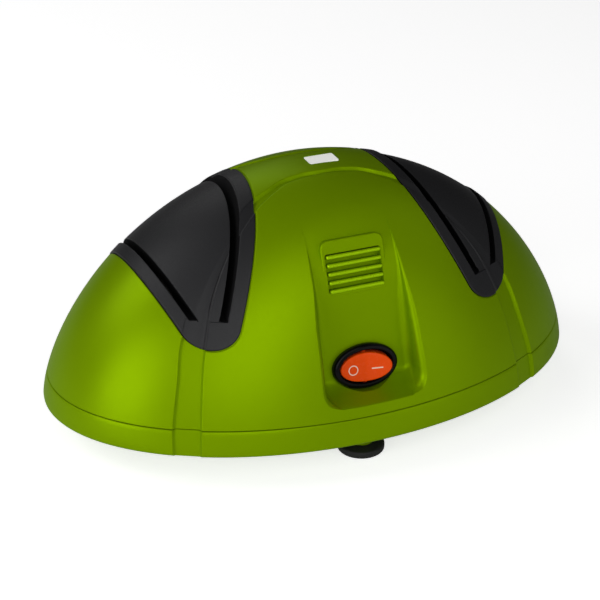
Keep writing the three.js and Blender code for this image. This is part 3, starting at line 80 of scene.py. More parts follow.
# %% [markdown]
# ## Turning arrays into solids
#
# A moulded shape is easiest to describe as rows of rings. Joining ring to ring gives a closed
# mesh, with a fan of triangles over each open end. Writing the mesh from arrays leaves every
# size in the script, which a shape pushed about by hand would not.

# %% Rings into a solid
def new_object(name, points, faces):
    mesh = bpy.data.meshes.new(name)
    mesh.from_pydata([tuple(map(float, p)) for p in points], [], faces)
    mesh.update()
    made = bpy.data.objects.new(name, mesh)
    bpy.context.scene.collection.objects.link(made)
    return made


def loft(rings, name="loft", closed=False):
    """Solid through rings of equally many points. A closed loft joins the last ring to the first."""
    rings = [np.asarray(ring, float) for ring in rings]
    count = len(rings[0])
    points = [p for ring in rings for p in ring]
    faces = []
    rows = len(rings) if closed else len(rings) - 1
    for i in range(rows):
        low, high = i * count, ((i + 1) % len(rings)) * count
        for j in range(count):
            k = (j + 1) % count
            faces.append((low + j, low + k, high + k, high + j))
    if not closed:
        last = count * (len(rings) - 1)
        for ring, first, turned_over in ((rings[0], 0, True), (rings[-1], last, False)):
            if np.ptp(ring, axis=0).max() < 1e-6:
                continue
            hub = len(points)
            points.append(ring.mean(axis=0))
            for j in range(count):
                a, b = first + j, first + (j + 1) % count
                faces.append((hub, b, a) if turned_over else (hub, a, b))
    made = new_object(name, points, faces)
    return weld(made)


def weld(made):
    """Welds doubled points and turns the faces outwards."""
    work = bmesh.new()
    work.from_mesh(made.data)
    bmesh.ops.remove_doubles(work, verts=work.verts, dist=1e-5)
    bmesh.ops.dissolve_degenerate(work, edges=work.edges, dist=1e-6)
    bmesh.ops.recalc_face_normals(work, faces=work.faces)
    if work.calc_volume(signed=True) < 0:
        bmesh.ops.reverse_faces(work, faces=work.faces)
    work.to_mesh(made.data)
    work.free()
    return made


print("a loft closes its ends with fans of triangles")

# %% [markdown]
# Closed meshes can be cut from each other cleanly. The Boolean modifier does the cutting with
# its manifold solver, which keeps every result watertight. The modifier is applied at once, so
# that the next cut starts from plain mesh.

# %% Cutting and joining
def combine(body, tool, operation):
    """Joins or cuts with the Boolean modifier and keeps the result as plain mesh."""
    step = body.modifiers.new("step", "BOOLEAN")
    step.operation = operation
    step.solver = "MANIFOLD"
    step.object = tool
    ready = body.evaluated_get(bpy.context.evaluated_depsgraph_get())
    mesh = bpy.data.meshes.new_from_object(ready)
    body.modifiers.clear()
    old = body.data
    body.data = mesh
    bpy.data.meshes.remove(old)
    bpy.data.objects.remove(tool)
    return body


def cut(body, *tools):
    for tool in tools:
        combine(body, tool, "DIFFERENCE")
    return body


def join(body, *tools):
    for tool in tools:
        combine(body, tool, "UNION")
    return body


def overlap(body, tool):
    return combine(body, tool, "INTERSECT")


print("solver: manifold booleans")

# %% [markdown]
# A cutter is used up by its cut, so one that serves twice is copied first. Whatever sits at the
# left is the mirror of its partner at the right.

# %% Copies, mirrors and moves
def copied(made):
    twin = bpy.data.objects.new(made.name + "_copy", made.data.copy())
    bpy.context.scene.collection.objects.link(twin)
    return twin


def mirror(made):
    """Exchanges left and right."""
    made.data.transform(Matrix.Diagonal((-1, 1, 1, 1)))
    made.data.flip_normals()
    return made


def moved(made, x, y, z=0):
    made.data.transform(Matrix.Translation((x, y, z)))
    return made


print("helpers act on the mesh, so every object stays at the origin")

# %% [markdown]
# ## Simple outlines
#
# Straight and turned pieces come from an outline. Each is drawn flat and then placed by a frame,
# which is a matrix that says where the outline's own X, Y and Z lie on the machine.

# %% Frames
def basis(origin, x_axis, y_axis, z_axis):
    made = Matrix.Identity(4)
    for column, axis in enumerate((x_axis, y_axis, z_axis)):
        for row in range(3):
            made[row][column] = axis[row]
    made.translation = Vector(origin)
    return made


def placed(points, matrix):
    rows = np.asarray(points, float)
    turn = np.array(matrix.to_3x3())
    return rows @ turn.T + np.array(matrix.translation)


SIDE = basis((0, 0, 0), (0, 1, 0), (0, 0, 1), (1, 0, 0))


def leaning(y, z, lean):
    """Frame of a face that leans back, with local Z pointing out of it."""
    up, out = (0, math.sin(lean), math.cos(lean)), (0, -math.cos(lean), math.sin(lean))
    return basis((0, y, z), (1, 0, 0), up, out)


print("a face that leans by 90 degrees looks", tuple(round(v) for v in leaning(0, 0, 90 * DEGREE).col[2][:3]))

# %% [markdown]
# A prism pushes its outline along the frame's Z. The soft one rounds its upper edge by drawing
# the outline in, step by step, as a mould maker breaks an edge.

# %% Prisms and flat outlines
def raised(outline, level, matrix):
    """A flat outline lifted to a level of the frame."""
    return placed([(x, y, level) for x, y in outline], matrix)


def prism(outline, low, high, matrix=Matrix.Identity(4), name="prism"):
    return loft([raised(outline, level, matrix) for level in (low, high)], name)


def soft_prism(outline_at, low, high, radius, matrix=Matrix.Identity(4), steps=5, name="soft_prism"):
    """Prism whose upper edge is rounded. outline_at gives the outline drawn in by an inset."""
    rings = [raised(outline_at(0), low, matrix)]
    for i in range(steps + 1):
        turn = i / steps * math.pi / 2
        inset = radius * (1 - math.cos(turn))
        level = high - radius + radius * math.sin(turn)
        rings.append(raised(outline_at(inset), level, matrix))
    return loft(rings, name)


def rounded_box(half_length, half_width, radius, steps=6):
    corner = [(1, 1, 0), (-1, 1, 90), (-1, -1, 180), (1, -1, 270)]
    points = []
    for sx, sy, start in corner:
        for i in range(steps + 1):
            turn = (start + 90 * i / steps) * DEGREE
            x = sx * (half_length - radius) + radius * math.cos(turn)
            y = sy * (half_width - radius) + radius * math.sin(turn)
            points.append((x, y))
    return points


def oval(half_length, half_width, sides=96):
    turns = [i / sides * 2 * math.pi for i in range(sides)]
    return [(half_length * math.cos(t), half_width * math.sin(t)) for t in turns]


print("points of a rounded box:", len(rounded_box(2, 1, 0.5)), "of an oval:", len(oval(2, 1)))

# %% [markdown]
# A turned piece spins a half profile round an axis, as a lathe would. Feet, bosses, bores and
# wheels are all made so.

# %% Turned pieces
def turned(profile, sides=64, matrix=Matrix.Identity(4), name="turned"):
    """Spins a closed profile of (radius, height) corners round local Z."""
    rings = [raised(oval(radius, radius, sides), height, matrix) for radius, height in profile]
    solid_to_axis = profile[0][0] < 1e-6 and profile[-1][0] < 1e-6
    return loft(rings, name, closed=not solid_to_axis)


def disc(radius, low, high, sides=64, matrix=Matrix.Identity(4)):
    return turned([(0, low), (radius, low), (radius, high), (0, high)], sides, matrix, "disc")


print("a turned piece has 64 sides unless it is told otherwise")

# %% [markdown]
# ## The dome's surface
#
# Every level section of the dome is an ellipse. Its half length and half depth shrink with
# height by two power curves, which is what gives the shell its full shoulders and flat crown.
# Knowing the surface as a formula is useful twice: it makes the mesh, and it tells other
# pieces where the skin is and which way it faces.

# %% The skin as a formula
def share_of_height(z, inset=0.0):
    return np.clip((np.asarray(z, float) - housing["rim"]) / (housing["height"] - inset), 0, 1)


def half_length_at(z, inset=0.0):
    rest = 1 - share_of_height(z, inset) ** rise_power["length"]
    return (housing["length"] / 2 - inset) * rest ** (1 / round_power["length"])


def half_depth_at(z, inset=0.0):
    rest = 1 - share_of_height(z, inset) ** rise_power["depth"]
    return (housing["depth"] / 2 - inset) * rest ** (1 / round_power["depth"])


def skin_depth(x, z, inset=0.0):
    """Distance of the skin from the middle plane at a place of the front view."""
    share = np.minimum(np.abs(x) / np.maximum(half_length_at(z, inset), 1e-6), 1)
    return half_depth_at(z, inset) * np.sqrt(1 - share * share)


for height in (parting, 60.0, 95.0):
    print("level", height, "half length", round(float(half_length_at(height)), 2))

# %% [markdown]
# The direction in which the skin faces is the slope of the same formula. Edges that are rounded
# later need it, because a fillet turns from one face into the skin.

# %% Where the skin faces
def skin_normal(x, y, z):
    """Outward direction of the skin at a point of it."""
    top = crown - 0.02
    z = min(max(z, housing["rim"]), top)
    step = 0.01
    low, high = max(z - step, housing["rim"]), min(z + step, top)

    def value(height):
        return (x / half_length_at(height)) ** 2 + (y / half_depth_at(height)) ** 2

    rise = (value(high) - value(low)) / (high - low)
    return Vector((2 * x / half_length_at(z) ** 2, 2 * y / half_depth_at(z) ** 2, rise)).normalized()


half_way = skin_normal(0, -float(skin_depth(0, 60.0)), 60.0)
print("60 mm up the front the skin faces", [round(v, 2) for v in half_way])

# %% [markdown]
# A dome is a loft through level rings. They lie closer together near the crown, where the skin
# turns over fastest.

# %% The dome as a solid
def level_ring(inset, z, sides):
    turns = np.arange(sides) / sides * 2 * math.pi
    a, b = float(half_length_at(z, inset)), float(half_depth_at(z, inset))
    return np.column_stack([a * np.cos(turns), b * np.sin(turns), np.full(sides, float(z))])


def dome(inset, low, sides, levels, chamfer=0.0, name="dome"):
    """Solid dome from a level up to just under the crown, its lower edge broken by a chamfer."""
    top = crown - inset - crown_flat
    heights = [low + (top - low) * math.sin(i / levels * math.pi / 2) for i in range(levels + 1)]
    rings = [level_ring(inset, z, sides) for z in heights]
    if chamfer:
        rings[0] = level_ring(inset, heights[0] + chamfer, sides)
        foot = level_ring(inset + chamfer, heights[0], sides)
        foot[:, 2] = heights[0]
        rings.insert(0, foot)
    return loft(rings, name)


print("points of a ring at the parting line:", level_ring(0, parting, 8).shape)

# %% [markdown]
# ## Rounded edges
#
# Real mouldings have no knife edges. Where a cut meets the skin, a thin cutter is swept along
# the edge, and its section is the corner outside a quarter circle. Subtracting it leaves a true
# fillet that catches a line of light.

# %% Sweep a section along a path
def sweep(path, across, out, section, name="sweep", closed=True):
    """Sweeps a closed section of (across, out) values along a path."""
    rings = [[tuple(p + a * u + n * v) for u, v in section] for p, a, n in zip(path, across, out)]
    return loft(rings, name, closed=closed)


def fillet_section(radius, steps=5, past=0.5):
    """Corner outside a quarter circle, as (into the piece along the skin, out of the skin)."""
    points = [(radius, past), (-past, past), (-past, -radius)]
    for i in range(steps + 1):
        turn = i / steps * math.pi / 2
        points.append((radius - radius * math.cos(turn), -radius + radius * math.sin(turn)))
    return points


def directions_along(path):
    """Unit tangents of a path, for turning the section square to it."""
    path = [Vector(p) for p in path]
    count = len(path)
    return [(path[(i + 1) % count] - path[i - 1]).normalized() for i in range(count)]


print("corners of a fillet section:", len(fillet_section(1.0)))

# %% [markdown]
# The path of such a cutter comes from the formula of the skin, so the fillet follows the edge
# exactly. A side of a notch is a leaning plane. On each ray from its foot the place where it
# leaves the skin is found by halving the distance again and again.

# %% Where a leaning plane leaves the skin
far_out = 130.0  # beyond the skin on every ray of the search


def side_path(x0, z0, slope, drop, move=(0.0, 0.0, 0.0), turns=None):
    """Where a leaning plane leaves the skin, from the front over the top to the rear.

    The plane passes through (x0, z0) in the middle plane and falls to the rear with the notch.
    The path starts and ends on a line through that point which drops by a share of its run.
    A moved skin is the dome's own skin shifted by move.
    """
    if turns is None:
        turns = np.linspace(math.pi, 0, 161)
    along, up = np.cos(turns), np.sin(turns)
    low, high = np.zeros(len(turns)), np.full(len(turns), far_out)

    def spot(reach):
        y = reach * along
        z = z0 + reach * up - drop * y
        return x0 + slope * (z + notch_size["fall"] * y - z0), y, z

    for _ in range(50):
        middle = (low + high) / 2
        x, y, z = spot(middle)
        x, z = x - move[0], z - move[2]
        a, b = np.maximum(half_length_at(z), 1e-9), np.maximum(half_depth_at(z), 1e-9)
        inside = (x / a) ** 2 + (y / b) ** 2 < 1
        low, high = np.where(inside, middle, low), np.where(inside, high, middle)
    return [Vector(map(float, p)) for p in zip(*spot(low))]


top_line = side_path(notch_size["offset"], parting, 0.0, 0.0)
print("skin over the middle of a guide:", round(max(p.z for p in top_line), 2), "mm up")

# %% [markdown]
# The V has a round tip. Its edge is one closed path: round the tip at the front, up and over one
# side, round the tip at the rear, and back over the other side. With each point goes the direction
# that leads from the green shell into the black guide.

# %% Edge of a notch
notch_centre = (notch_size["offset"], housing["rim"] + notch_size["tip"] + notch_size["radius"])


def notch_outline(inset, samples=64):
    """Rounded tip of a V notch in the middle plane, from its inner side to its outer side."""
    radius = notch_size["radius"] - inset
    x, z = notch_centre
    start, end = math.pi + notch_size["lean"], 2 * math.pi - notch_size["lean"]
    arc = [start + (end - start) * i / samples for i in range(samples + 1)]
    return [(x + radius * math.cos(t), z + radius * math.sin(t)) for t in arc]


def notch_loop(inset, move=(0.0, 0.0, 0.0)):
    """Closed path of the notch's edge on the skin, with the direction away from the green shell."""
    arc = notch_outline(inset)
    lean, fall = math.tan(notch_size["lean"]), notch_size["fall"]
    path, into = [], []

    def tip(end):
        for x, z in arc[1:-1] if end == math.pi else arc[1:-1][::-1]:
            p = side_path(x, z, 0.0, fall, move, np.array([end]))[0]
            path.append(p)
            inward = (notch_centre[0] - p.x, 0, notch_centre[1] - fall * p.y - p.z)
            into.append(Vector(inward).normalized())

    def side(start, slope, backwards):
        rows = side_path(start[0], start[1], slope, fall, move)
        path.extend(rows[::-1] if backwards else rows)
        turn = notch_size["lean"]
        into.extend([Vector((-math.copysign(math.cos(turn), slope), 0, math.sin(turn)))] * len(rows))

    tip(math.pi)
    side(arc[-1], lean, False)
    tip(0.0)
    side(arc[0], -lean, True)
    return path, into


print("notch edge points:", len(notch_loop(0)[0]))

# %% [markdown]
# At each point of the path the section is turned square to the path and laid against the skin.
# Its corner then points out of the material, on whichever side of the edge the piece lies.

# %% Fillet cutter along an edge
def edge_cutter(path, into, radius, sign, name, move=(0.0, 0.0, 0.0)):
    """Fillet cutter along a path. sign is 1 when the piece lies on the into side."""
    tangents = directions_along(path)
    across, out = [], []
    for p, side, along in zip(path, into, tangents):
        normal = skin_normal(p.x - move[0], p.y, p.z - move[2])
        normal = (normal - along * normal.dot(along)).normalized()
        side = (side - along * side.dot(along)) * sign
        side = (side - normal * side.dot(normal)).normalized()
        across.append(side)
        out.append(normal)
    return sweep(path, across, out, fillet_section(radius), name)


print("a fillet cutter reaches 0.5 mm past the skin")

# %% [markdown]
# ## The sunken ribbon
#
# A shallow band runs up from the rim on each side, crosses the black guides and meets itself
# over the crown, where it is only a thin groove. Its two edges are curves in the front view,
# drawn smoothly through a few points. A point is a share of the half length and of the height.

# %% Edges of the ribbon
ribbon_front = [
    (0.609, 0), (0.6, 0.127), (0.576, 0.311), (0.547, 0.449), (0.491, 0.627),
    (0.4, 0.786), (0.282, 0.9045), (0.169, 0.9643), (0.086, 0.9827), (0, 0.9885),
]
ribbon_back = [
    (0.692, 0), (0.684, 0.127), (0.65, 0.311), (0.614, 0.472), (0.532, 0.656),
    (0.427, 0.8), (0.305, 0.9114), (0.186, 0.9668), (0.091, 0.9879), (0, 0.9925),
]


def smooth_curve(points, samples):
    """Catmull-Rom curve through points, evenly stepped from point to point."""
    points = np.asarray(points, float)
    ends = np.vstack([2 * points[0] - points[1], points, 2 * points[-1] - points[-2]])
    made = []
    for t in np.linspace(0, len(points) - 1, samples):
        i = min(int(t), len(points) - 2)
        u = t - i
        a, b, c, d = ends[i], ends[i + 1], ends[i + 2], ends[i + 3]
        square, cube = 2 * a - 5 * b + 4 * c - d, 3 * b - a - 3 * c + d
        made.append(0.5 * ((2 * b) + (c - a) * u + square * u**2 + cube * u**3))
    return np.array(made)


def ribbon_edges(shares, samples=181):
    right = [(x * housing["length"] / 2, z * housing["height"]) for x, z in shares]
    half = [(right[0][0], -OVERRUN)] + right
    whole = [(-x, z) for x, z in half[:-1]] + half[::-1]
    return smooth_curve(whole, samples)


print("points along each edge:", len(ribbon_edges(ribbon_front)))

# %% [markdown]
# The cutter is a loft whose section has rounded shoulders, so the band's edges look moulded
# and not scratched. It is a little deeper here than in the solid model, so that its edges catch
# the light. Across the black guides it is shallower, and its back edge runs out in a soft slope.

# %% Ribbon cutters
ribbon_size = dict(depth=1.15, on_guides=0.75, shoulder=0.5, wall=0.7, slope_share=0.85)


def ribbon(rear, slope_share=0.0):
    """Band between the two edges, cut to its depth below the skin.

    With a share, the back edge is a long soft slope that takes this share of the band's width.
    """
    low_edge, high_edge = ribbon_edges(ribbon_front), ribbon_edges(ribbon_back)
    side = 1 if rear else -1
    depth = ribbon_size["depth"] * (ribbon_size["on_guides"] if slope_share else 1)
    rings = []
    for (x0, z0), (x1, z1) in zip(low_edge, high_edge):
        spots, normals = [], []
        for x, z in ((x0, z0), (x1, z1)):
            height = max(housing["rim"] + z, housing["rim"])
            y = -float(skin_depth(x, height))
            spots.append(Vector((x, y, housing["rim"] + z)))
            normals.append(skin_normal(x, y, height))
        lateral = spots[1] - spots[0]
        width = lateral.length
        r = min(ribbon_size["shoulder"], width / 4)
        w = min(ribbon_size["wall"], width / 4)
        ring = []
        for end, (spot, normal) in enumerate(zip(spots, normals)):
            into = lateral * (1 if end == 0 else -1)
            into = (into - normal * into.dot(normal)).normalized()
            row = [spot - into * r + normal * OVERRUN]
            if end == 1 and slope_share:
                for share in np.linspace(0, 1, 9):
                    drop = depth * share * share * (3 - 2 * share)
                    row.append(spot + into * (-r + (r + width * slope_share) * share) - normal * drop)
            else:
                for i in range(4):
                    turn = i / 3 * math.pi / 2
                    row.append(spot + into * (-r + r * math.sin(turn)) + normal * (-r + r * math.cos(turn)))
                row.append(spot + into * w - normal * depth)
            ring += row if end == 0 else row[::-1]
        rings.append([(p.x, -side * p.y, p.z) for p in ring])
    return loft(rings, "ribbon")


ribbon_tools = [ribbon(False), ribbon(True)]
soft_ribbon_tools = [ribbon(rear, ribbon_size["slope_share"]) for rear in (False, True)]
print("ribbon cutters:", [len(tool.data.polygons) for tool in ribbon_tools + soft_ribbon_tools])

# %% [markdown]
# ## Camera
#
# The photograph was taken from above the front left of the machine with a longish lens. Its
# place was found from landmarks such as the ends of the rim, the crown plate and the bars.

# %% Camera
camera_data = bpy.data.cameras.new("camera")
camera = bpy.data.objects.new("camera", camera_data)
bpy.context.scene.collection.objects.link(camera)
bpy.context.scene.camera = camera
camera_right = Vector((0.921, -0.389, 0.005))
camera_up = Vector((0.177, 0.431, 0.885))
camera_back = Vector((-0.346, -0.814, 0.466))
camera_right = (camera_right - camera_back * camera_right.dot(camera_back)).normalized()
camera_up = camera_back.cross(camera_right).normalized()
camera.matrix_world = basis((-0.2465, -0.5699, 0.3666), camera_right, camera_up, camera_back)
film_width, focal_pixels, photo_pixels = 36.0, 1748.1, 600
camera_data.sensor_width = film_width
camera_data.lens = film_width * focal_pixels / photo_pixels
camera_data.clip_start = 0.01
print("lens", round(camera_data.lens, 1), "mm at", [round(v, 3) for v in camera.location])

# %% [markdown]
# ## Light and ground
#
# Surroundings, ground and finishes are networks of shader nodes. Three helpers write them: one
# makes an empty material, one adds a node with its values, and one links two nodes.

# %% Shader nodes
def material(name):
    made = bpy.data.materials.new(name)
    made.use_nodes = True
    made.node_tree.nodes.clear()
    return made


def node(tree, kind, inputs=None, **settings):
    """Adds a node with its settings and the values of those inputs that nothing is linked to."""
    made = tree.nodes.new(kind)
    for key, value in settings.items():
        setattr(made, key, value)
    for key, value in (inputs or {}).items():
        made.inputs[key].default_value = value
    return made


def link(source, output, target, entry):
    """Runs an output of one node into an input of another, each given by its name or number."""
    source.id_data.links.new(source.outputs[output], target.inputs[entry])


print("shader helpers: material, node and link")

# %% [markdown]
# The machine was photographed on white. Seen directly or through a clear piece, the surroundings
# are white here too. Reflections see an almost dark sky instead: with a white one the black
# guides turn grey and the green loses its dark flanks, and nothing in sight is bare metal.

# %% White surroundings
WHITE = (1, 1, 1, 1)
sky_strength = 0.03
world = bpy.data.worlds.new("studio")
bpy.context.scene.world = world
world.use_nodes = True
tree = world.node_tree
tree.nodes.clear()
rays = node(tree, "ShaderNodeLightPath")
sky = node(tree, "ShaderNodeBackground", {"Color": WHITE, "Strength": sky_strength})
white = node(tree, "ShaderNodeBackground", {"Color": WHITE})
mix = node(tree, "ShaderNodeMixShader")
out = node(tree, "ShaderNodeOutputWorld")
sees_white = node(tree, "ShaderNodeMath", operation="MAXIMUM")
link(rays, "Is Camera Ray", sees_white, 0)
link(rays, "Is Transmission Ray", sees_white, 1)
link(sees_white, 0, mix, 0)
link(sky, 0, mix, 1)
link(white, 0, mix, 2)
link(mix, 0, out, 0)
bpy.context.scene.view_settings.view_transform = "Standard"
print("sky seen by the plastic:", sky_strength)

# %% [markdown]
# A ring of soft lamps lights the dome. The strongest stands low at the left, two near the lens
# brighten the middle, and weak ones at the right and behind keep the far side dim. Each is a
# square of light, so that edges get broad soft streaks. Two angles place it: the turn round the
# machine from the front, to the right, and the height above the ground.

# %% Soft lamps
lamp_centre, aim = Vector((0, 0, 0.03)), Vector((0, 0, 0.05))


def soft_light(name, round_from_front, above, power, far=1.1, size=0.6):
    """Square soft lamp that looks at the machine, placed by two angles in degrees."""
    turn, lift = round_from_front * DEGREE, above * DEGREE
    level = math.cos(lift)
    place = Vector((math.sin(turn) * level, -math.cos(turn) * level, math.sin(lift))) * far
    data = bpy.data.lights.new(name, "AREA")
    data.size = size
    data.energy = power
    lamp = bpy.data.objects.new(name, data)
    bpy.context.scene.collection.objects.link(lamp)
    lamp.location = place + lamp_centre
    lamp.rotation_euler = (aim - lamp.location).to_track_quat("-Z", "Y").to_euler()
    lamp.visible_camera = False
    return lamp


lamps = {
    "left_low": (-70, 12, 4.0),
    "left_high": (-110, 40, 2.7),
    "front_low": (-20, 22, 2.8),
    "front_high": (0, 40, 1.7),
    "right_low": (35, 12, 1.1),
    "right_high": (75, 40, 0.4),
    "behind": (180, 40, 1.1),
}
for name, (round_from_front, above, power) in lamps.items():
    soft_light(name, round_from_front, above, power)
print("lights:", ", ".join(lamps))

# %% [markdown]
# The ground is one large square. Its plain white finish takes the shadow, and a glow that only
# the camera sees lifts it to the white of the surroundings.

# %% Ground
half_side = 4.0
corners = [(x * half_side, y * half_side, 0) for x, y in ((-1, -1), (1, -1), (1, 1), (-1, 1))]
ground = new_object("floor", corners, [(0, 1, 2, 3)])
floor_finish = material("floor_white")
tree = floor_finish.node_tree
shade = node(tree, "ShaderNodeBsdfPrincipled", {"Base Color": (0.93, 0.93, 0.93, 1), "Roughness": 0.9})
glow = node(tree, "ShaderNodeEmission", {"Color": WHITE, "Strength": 0.64})
ray = node(tree, "ShaderNodeLightPath")
switcher = node(tree, "ShaderNodeMixShader")
both = node(tree, "ShaderNodeAddShader")
floor_out = node(tree, "ShaderNodeOutputMaterial")
link(shade, 0, both, 0)
link(glow, 0, both, 1)
link(ray, "Is Camera Ray", switcher, 0)
link(shade, 0, switcher, 1)
link(both, 0, switcher, 2)
link(switcher, 0, floor_out, 0)
ground.data.materials.append(floor_finish)
print("ground half side:", half_side, "m")

# %% [markdown]
# ## Finishes
#
# All plastics here share one recipe: a base colour that drifts a little from place to place, as
# moulded colour does, a fine texture from the mould's eroded steel, and a roughness that varies
# with both. Only scale, depth and shine change from piece to piece. The green carries metallic
# flakes, so its broad highlights are green as well. The white plate is given a glow of its own,
# which is painted light. Metals use the same recipe with brushed marks.

# %% Colours as light
def linear(code):
    """Turns a colour code as written for a screen into the linear values that a shader takes."""
    values = [(code >> shift & 255) / 255 for shift in (16, 8, 0)]
    return [v / 12.92 if v <= 0.04045 else ((v + 0.055) / 1.055) ** 2.4 for v in values]


print("shell green as linear light:", [round(v, 3) for v in linear(0x7C9F00)])

# %% [markdown]
# The recipe itself is a small network. One cloud texture drifts the colour, and one fine texture
# drives both the bump and the roughness, so that rough spots are also the ones that stand out.
# In the node that mixes the colour, inputs 6 and 7 are its two colours and output 2 is the result.

# %% The recipe for moulded and metal pieces
finishes = {}


def moulded(
    name, code, roughness, grain=900.0, depth=0.00001, drift=0.04, spread=0.06, metallic=0.0,
    stretch=(1, 1, 1), specular=0.5, glint=(1, 1, 1), painted_glow=0.0,
):
    """Keeps a finish of drifting colour, texture as bump and uneven roughness. Lengths are metres."""
    made = material(name)
    tree = made.node_tree
    base = linear(code)
    darker, lighter = [v * (1 - drift) for v in base], [min(v * (1 + drift), 1) for v in base]
    place = node(tree, "ShaderNodeTexCoord")
    scale = node(tree, "ShaderNodeMapping", {"Scale": stretch})
    cloud = node(tree, "ShaderNodeTexNoise", {"Scale": 28.0, "Detail": 3.0})
    fine = node(tree, "ShaderNodeTexNoise", {"Scale": grain, "Detail": 4.0, "Roughness": 0.65})
    tint = node(tree, "ShaderNodeMix", {6: (*darker, 1), 7: (*lighter, 1)}, data_type="RGBA")
    rough = node(tree, "ShaderNodeMapRange", {
        "From Min": 0.3, "From Max": 0.7,
        "To Min": max(roughness - spread, 0.02), "To Max": min(roughness + spread, 1),
    })
    bump = node(tree, "ShaderNodeBump", {"Strength": 1.0, "Distance": depth})
    # the glow value sets an emission from the base colour: a glow that is painted light
    shade = node(tree, "ShaderNodeBsdfPrincipled", {
        "Metallic": metallic, "Specular IOR Level": specular, "Specular Tint": (*glint, 1),
        "Emission Color": (*base, 1), "Emission Strength": painted_glow,
    })
    end = node(tree, "ShaderNodeOutputMaterial")
    link(place, "Object", scale, "Vector")
    link(place, "Object", cloud, "Vector")
    link(scale, "Vector", fine, "Vector")
    link(cloud, "Fac", tint, 0)
    link(fine, "Fac", rough, "Value")
    link(fine, "Fac", bump, "Height")
    link(tint, 2, shade, "Base Color")
    link(rough, "Result", shade, "Roughness")
    link(bump, "Normal", shade, "Normal")
    link(shade, 0, end, "Surface")
    finishes[name] = made


print("recipe ready: colour, drift, mould texture, roughness and shine")

# %% [markdown]
# Every finish is one line of that recipe. After its name come the colour code, the roughness, the
# grain and depth of the texture, the drift of the colour and the spread of the roughness. The
# slot walls are a rough near-black, painted shade for the inside of the slots, and the wheels'
# dark grey is partly painted shade too. The switch is polished, and the bars get a brighter green
# than the shell round them, which is a painted highlight.

# %% The finishes
flaked = dict(grain=1100.0, drift=0.03, spread=0.05, metallic=0.36)
moulded("green_plastic", 0x7C9F00, 0.38, depth=0.000012, specular=0.08, glint=(0.5, 0.75, 0.05), **flaked)
# painted highlight: a brighter copy of the shell green for the bar tops
moulded("green_painted_highlight", 0xA6D208, 0.3, depth=0.000008, specular=0.2, glint=(0.6, 0.9, 0.2), **flaked)
moulded("black_plastic", 0x1F1F21, 0.5, 1500.0, 0.00003, 0.06, 0.08, specular=0.32)
# painted shade: the slot walls get this darker black to stand for the dark inside the slots
moulded("slot_painted_shade", 0x0A0A0B, 0.8, 1500.0, 0.00003, 0.06, 0.08, specular=0.1)
moulded("gloss_black", 0x08080A, 0.2, 600.0, 0.000002, 0.05, 0.03, specular=0.12)
moulded("orange_plastic", 0xF04C04, 0.26, 700.0, 0.000003, 0.03, 0.04, specular=0.15)
moulded("white_plastic", 0xF0F0EE, 0.35, 900.0, 0.000004, 0.02, 0.05)
# painted light: the plate glows by itself, though nothing lights it from inside
moulded("plate_painted_glow", 0xF4F4F0, 0.3, 900.0, 0.000004, 0.02, 0.05, painted_glow=0.34)
moulded("mark_white", 0xF6DCC8, 0.4, 900.0, 0.000004, 0.02, 0.05)
moulded("grey_plastic", 0x8B8F92, 0.5, 1200.0, 0.00001, 0.05, 0.06)
moulded("black_rubber", 0x161616, 0.7, 1800.0, 0.00003, 0.1, 0.08)
moulded("steel", 0xB8BCC0, 0.28, 1500.0, 0.000004, 0.05, 0.08, 1.0, stretch=(0.05, 1, 1))
moulded("zinc_steel", 0xA9ADB0, 0.38, 900.0, 0.000008, 0.1, 0.1, 1.0)
moulded("copper", 0xB4652D, 0.3, 1600.0, 0.00002, 0.1, 0.1, 1.0, stretch=(0.1, 1, 1))
moulded("brass", 0xC8A24A, 0.28, 1200.0, 0.000005, 0.08, 0.08, 1.0)
moulded("ferrite", 0x3A3A3C, 0.8, 2000.0, 0.00003, 0.1, 0.08)
moulded("carbon", 0x222224, 0.65, 2000.0, 0.00002, 0.1, 0.1)
# dark grey grit, kept dark as painted shade for the wheels deep in the slots
moulded("abrasive", 0x3A3835, 0.92, 2600.0, 0.00015, 0.16, 0.06, specular=0.1)
moulded("board_green", 0x2F5D34, 0.45, 1500.0, 0.000006, 0.08, 0.06)
moulded("blue_lead", 0x2A56A8, 0.5, 1500.0, 0.000006, 0.05, 0.06)
moulded("brown_lead", 0x6B3F22, 0.5, 1500.0, 0.000006, 0.05, 0.06)
print("finishes:", ", ".join(finishes))

# %% [markdown]
# ## Finishing a piece
#
# A finished piece is scaled to metres, gets its material, and its smooth and sharp edges are told
# apart by angle. Normals weighted by face area keep the broad faces calm beside thin fillets. The
# piece then rides on the body that carries it and stands for the node with the same name.

# %% Finish a piece
def finished(made, name, body, slot, nodes=(), sharp=38.0, finish=None):
    """Dresses a piece. sharp is the angle in degrees from which an edge stays an edge."""
    made.data.transform(Matrix.Scale(MM, 4))
    made.name = name
    made.data.name = name
    made.data.materials.clear()
    made.data.materials.append(finishes[finish or slot])
    for face in made.data.polygons:
        face.material_index = 0
    made.data.shade_smooth()
    made.data.set_sharp_from_angle(angle=sharp * DEGREE)
    weights = made.modifiers.new("calm_normals", "WEIGHTED_NORMAL")
    weights.mode = "FACE_AREA"
    weights.keep_sharp = True
    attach(made, body)
    if nodes:
        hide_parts(*nodes)
    print(name, "faces", len(made.data.polygons))
    return made


print("pieces are finished in metres, at a scale of", MM)

# %% [markdown]
# ## Cutters shared by several pieces
#
# The notch prism divides the green shell from the black guide, once at its own size and once drawn
# in by the clearance. It falls towards the rear, and so its sides part there. The slots are slabs
# that lean and part with those sides, while their floor stays level.

# %% Notches and slots
clear_out = 200.0  # well outside the machine on either side
FALLING = basis((0, 0, 0), (1, 0, 0), (0, 0, 1), (0, -1, notch_size["fall"]))
half_slot = slot_size["width"] / 2 / math.cos(notch_size["lean"])  # measured level
slot_foot = housing["rim"] + slot_size["floor"]


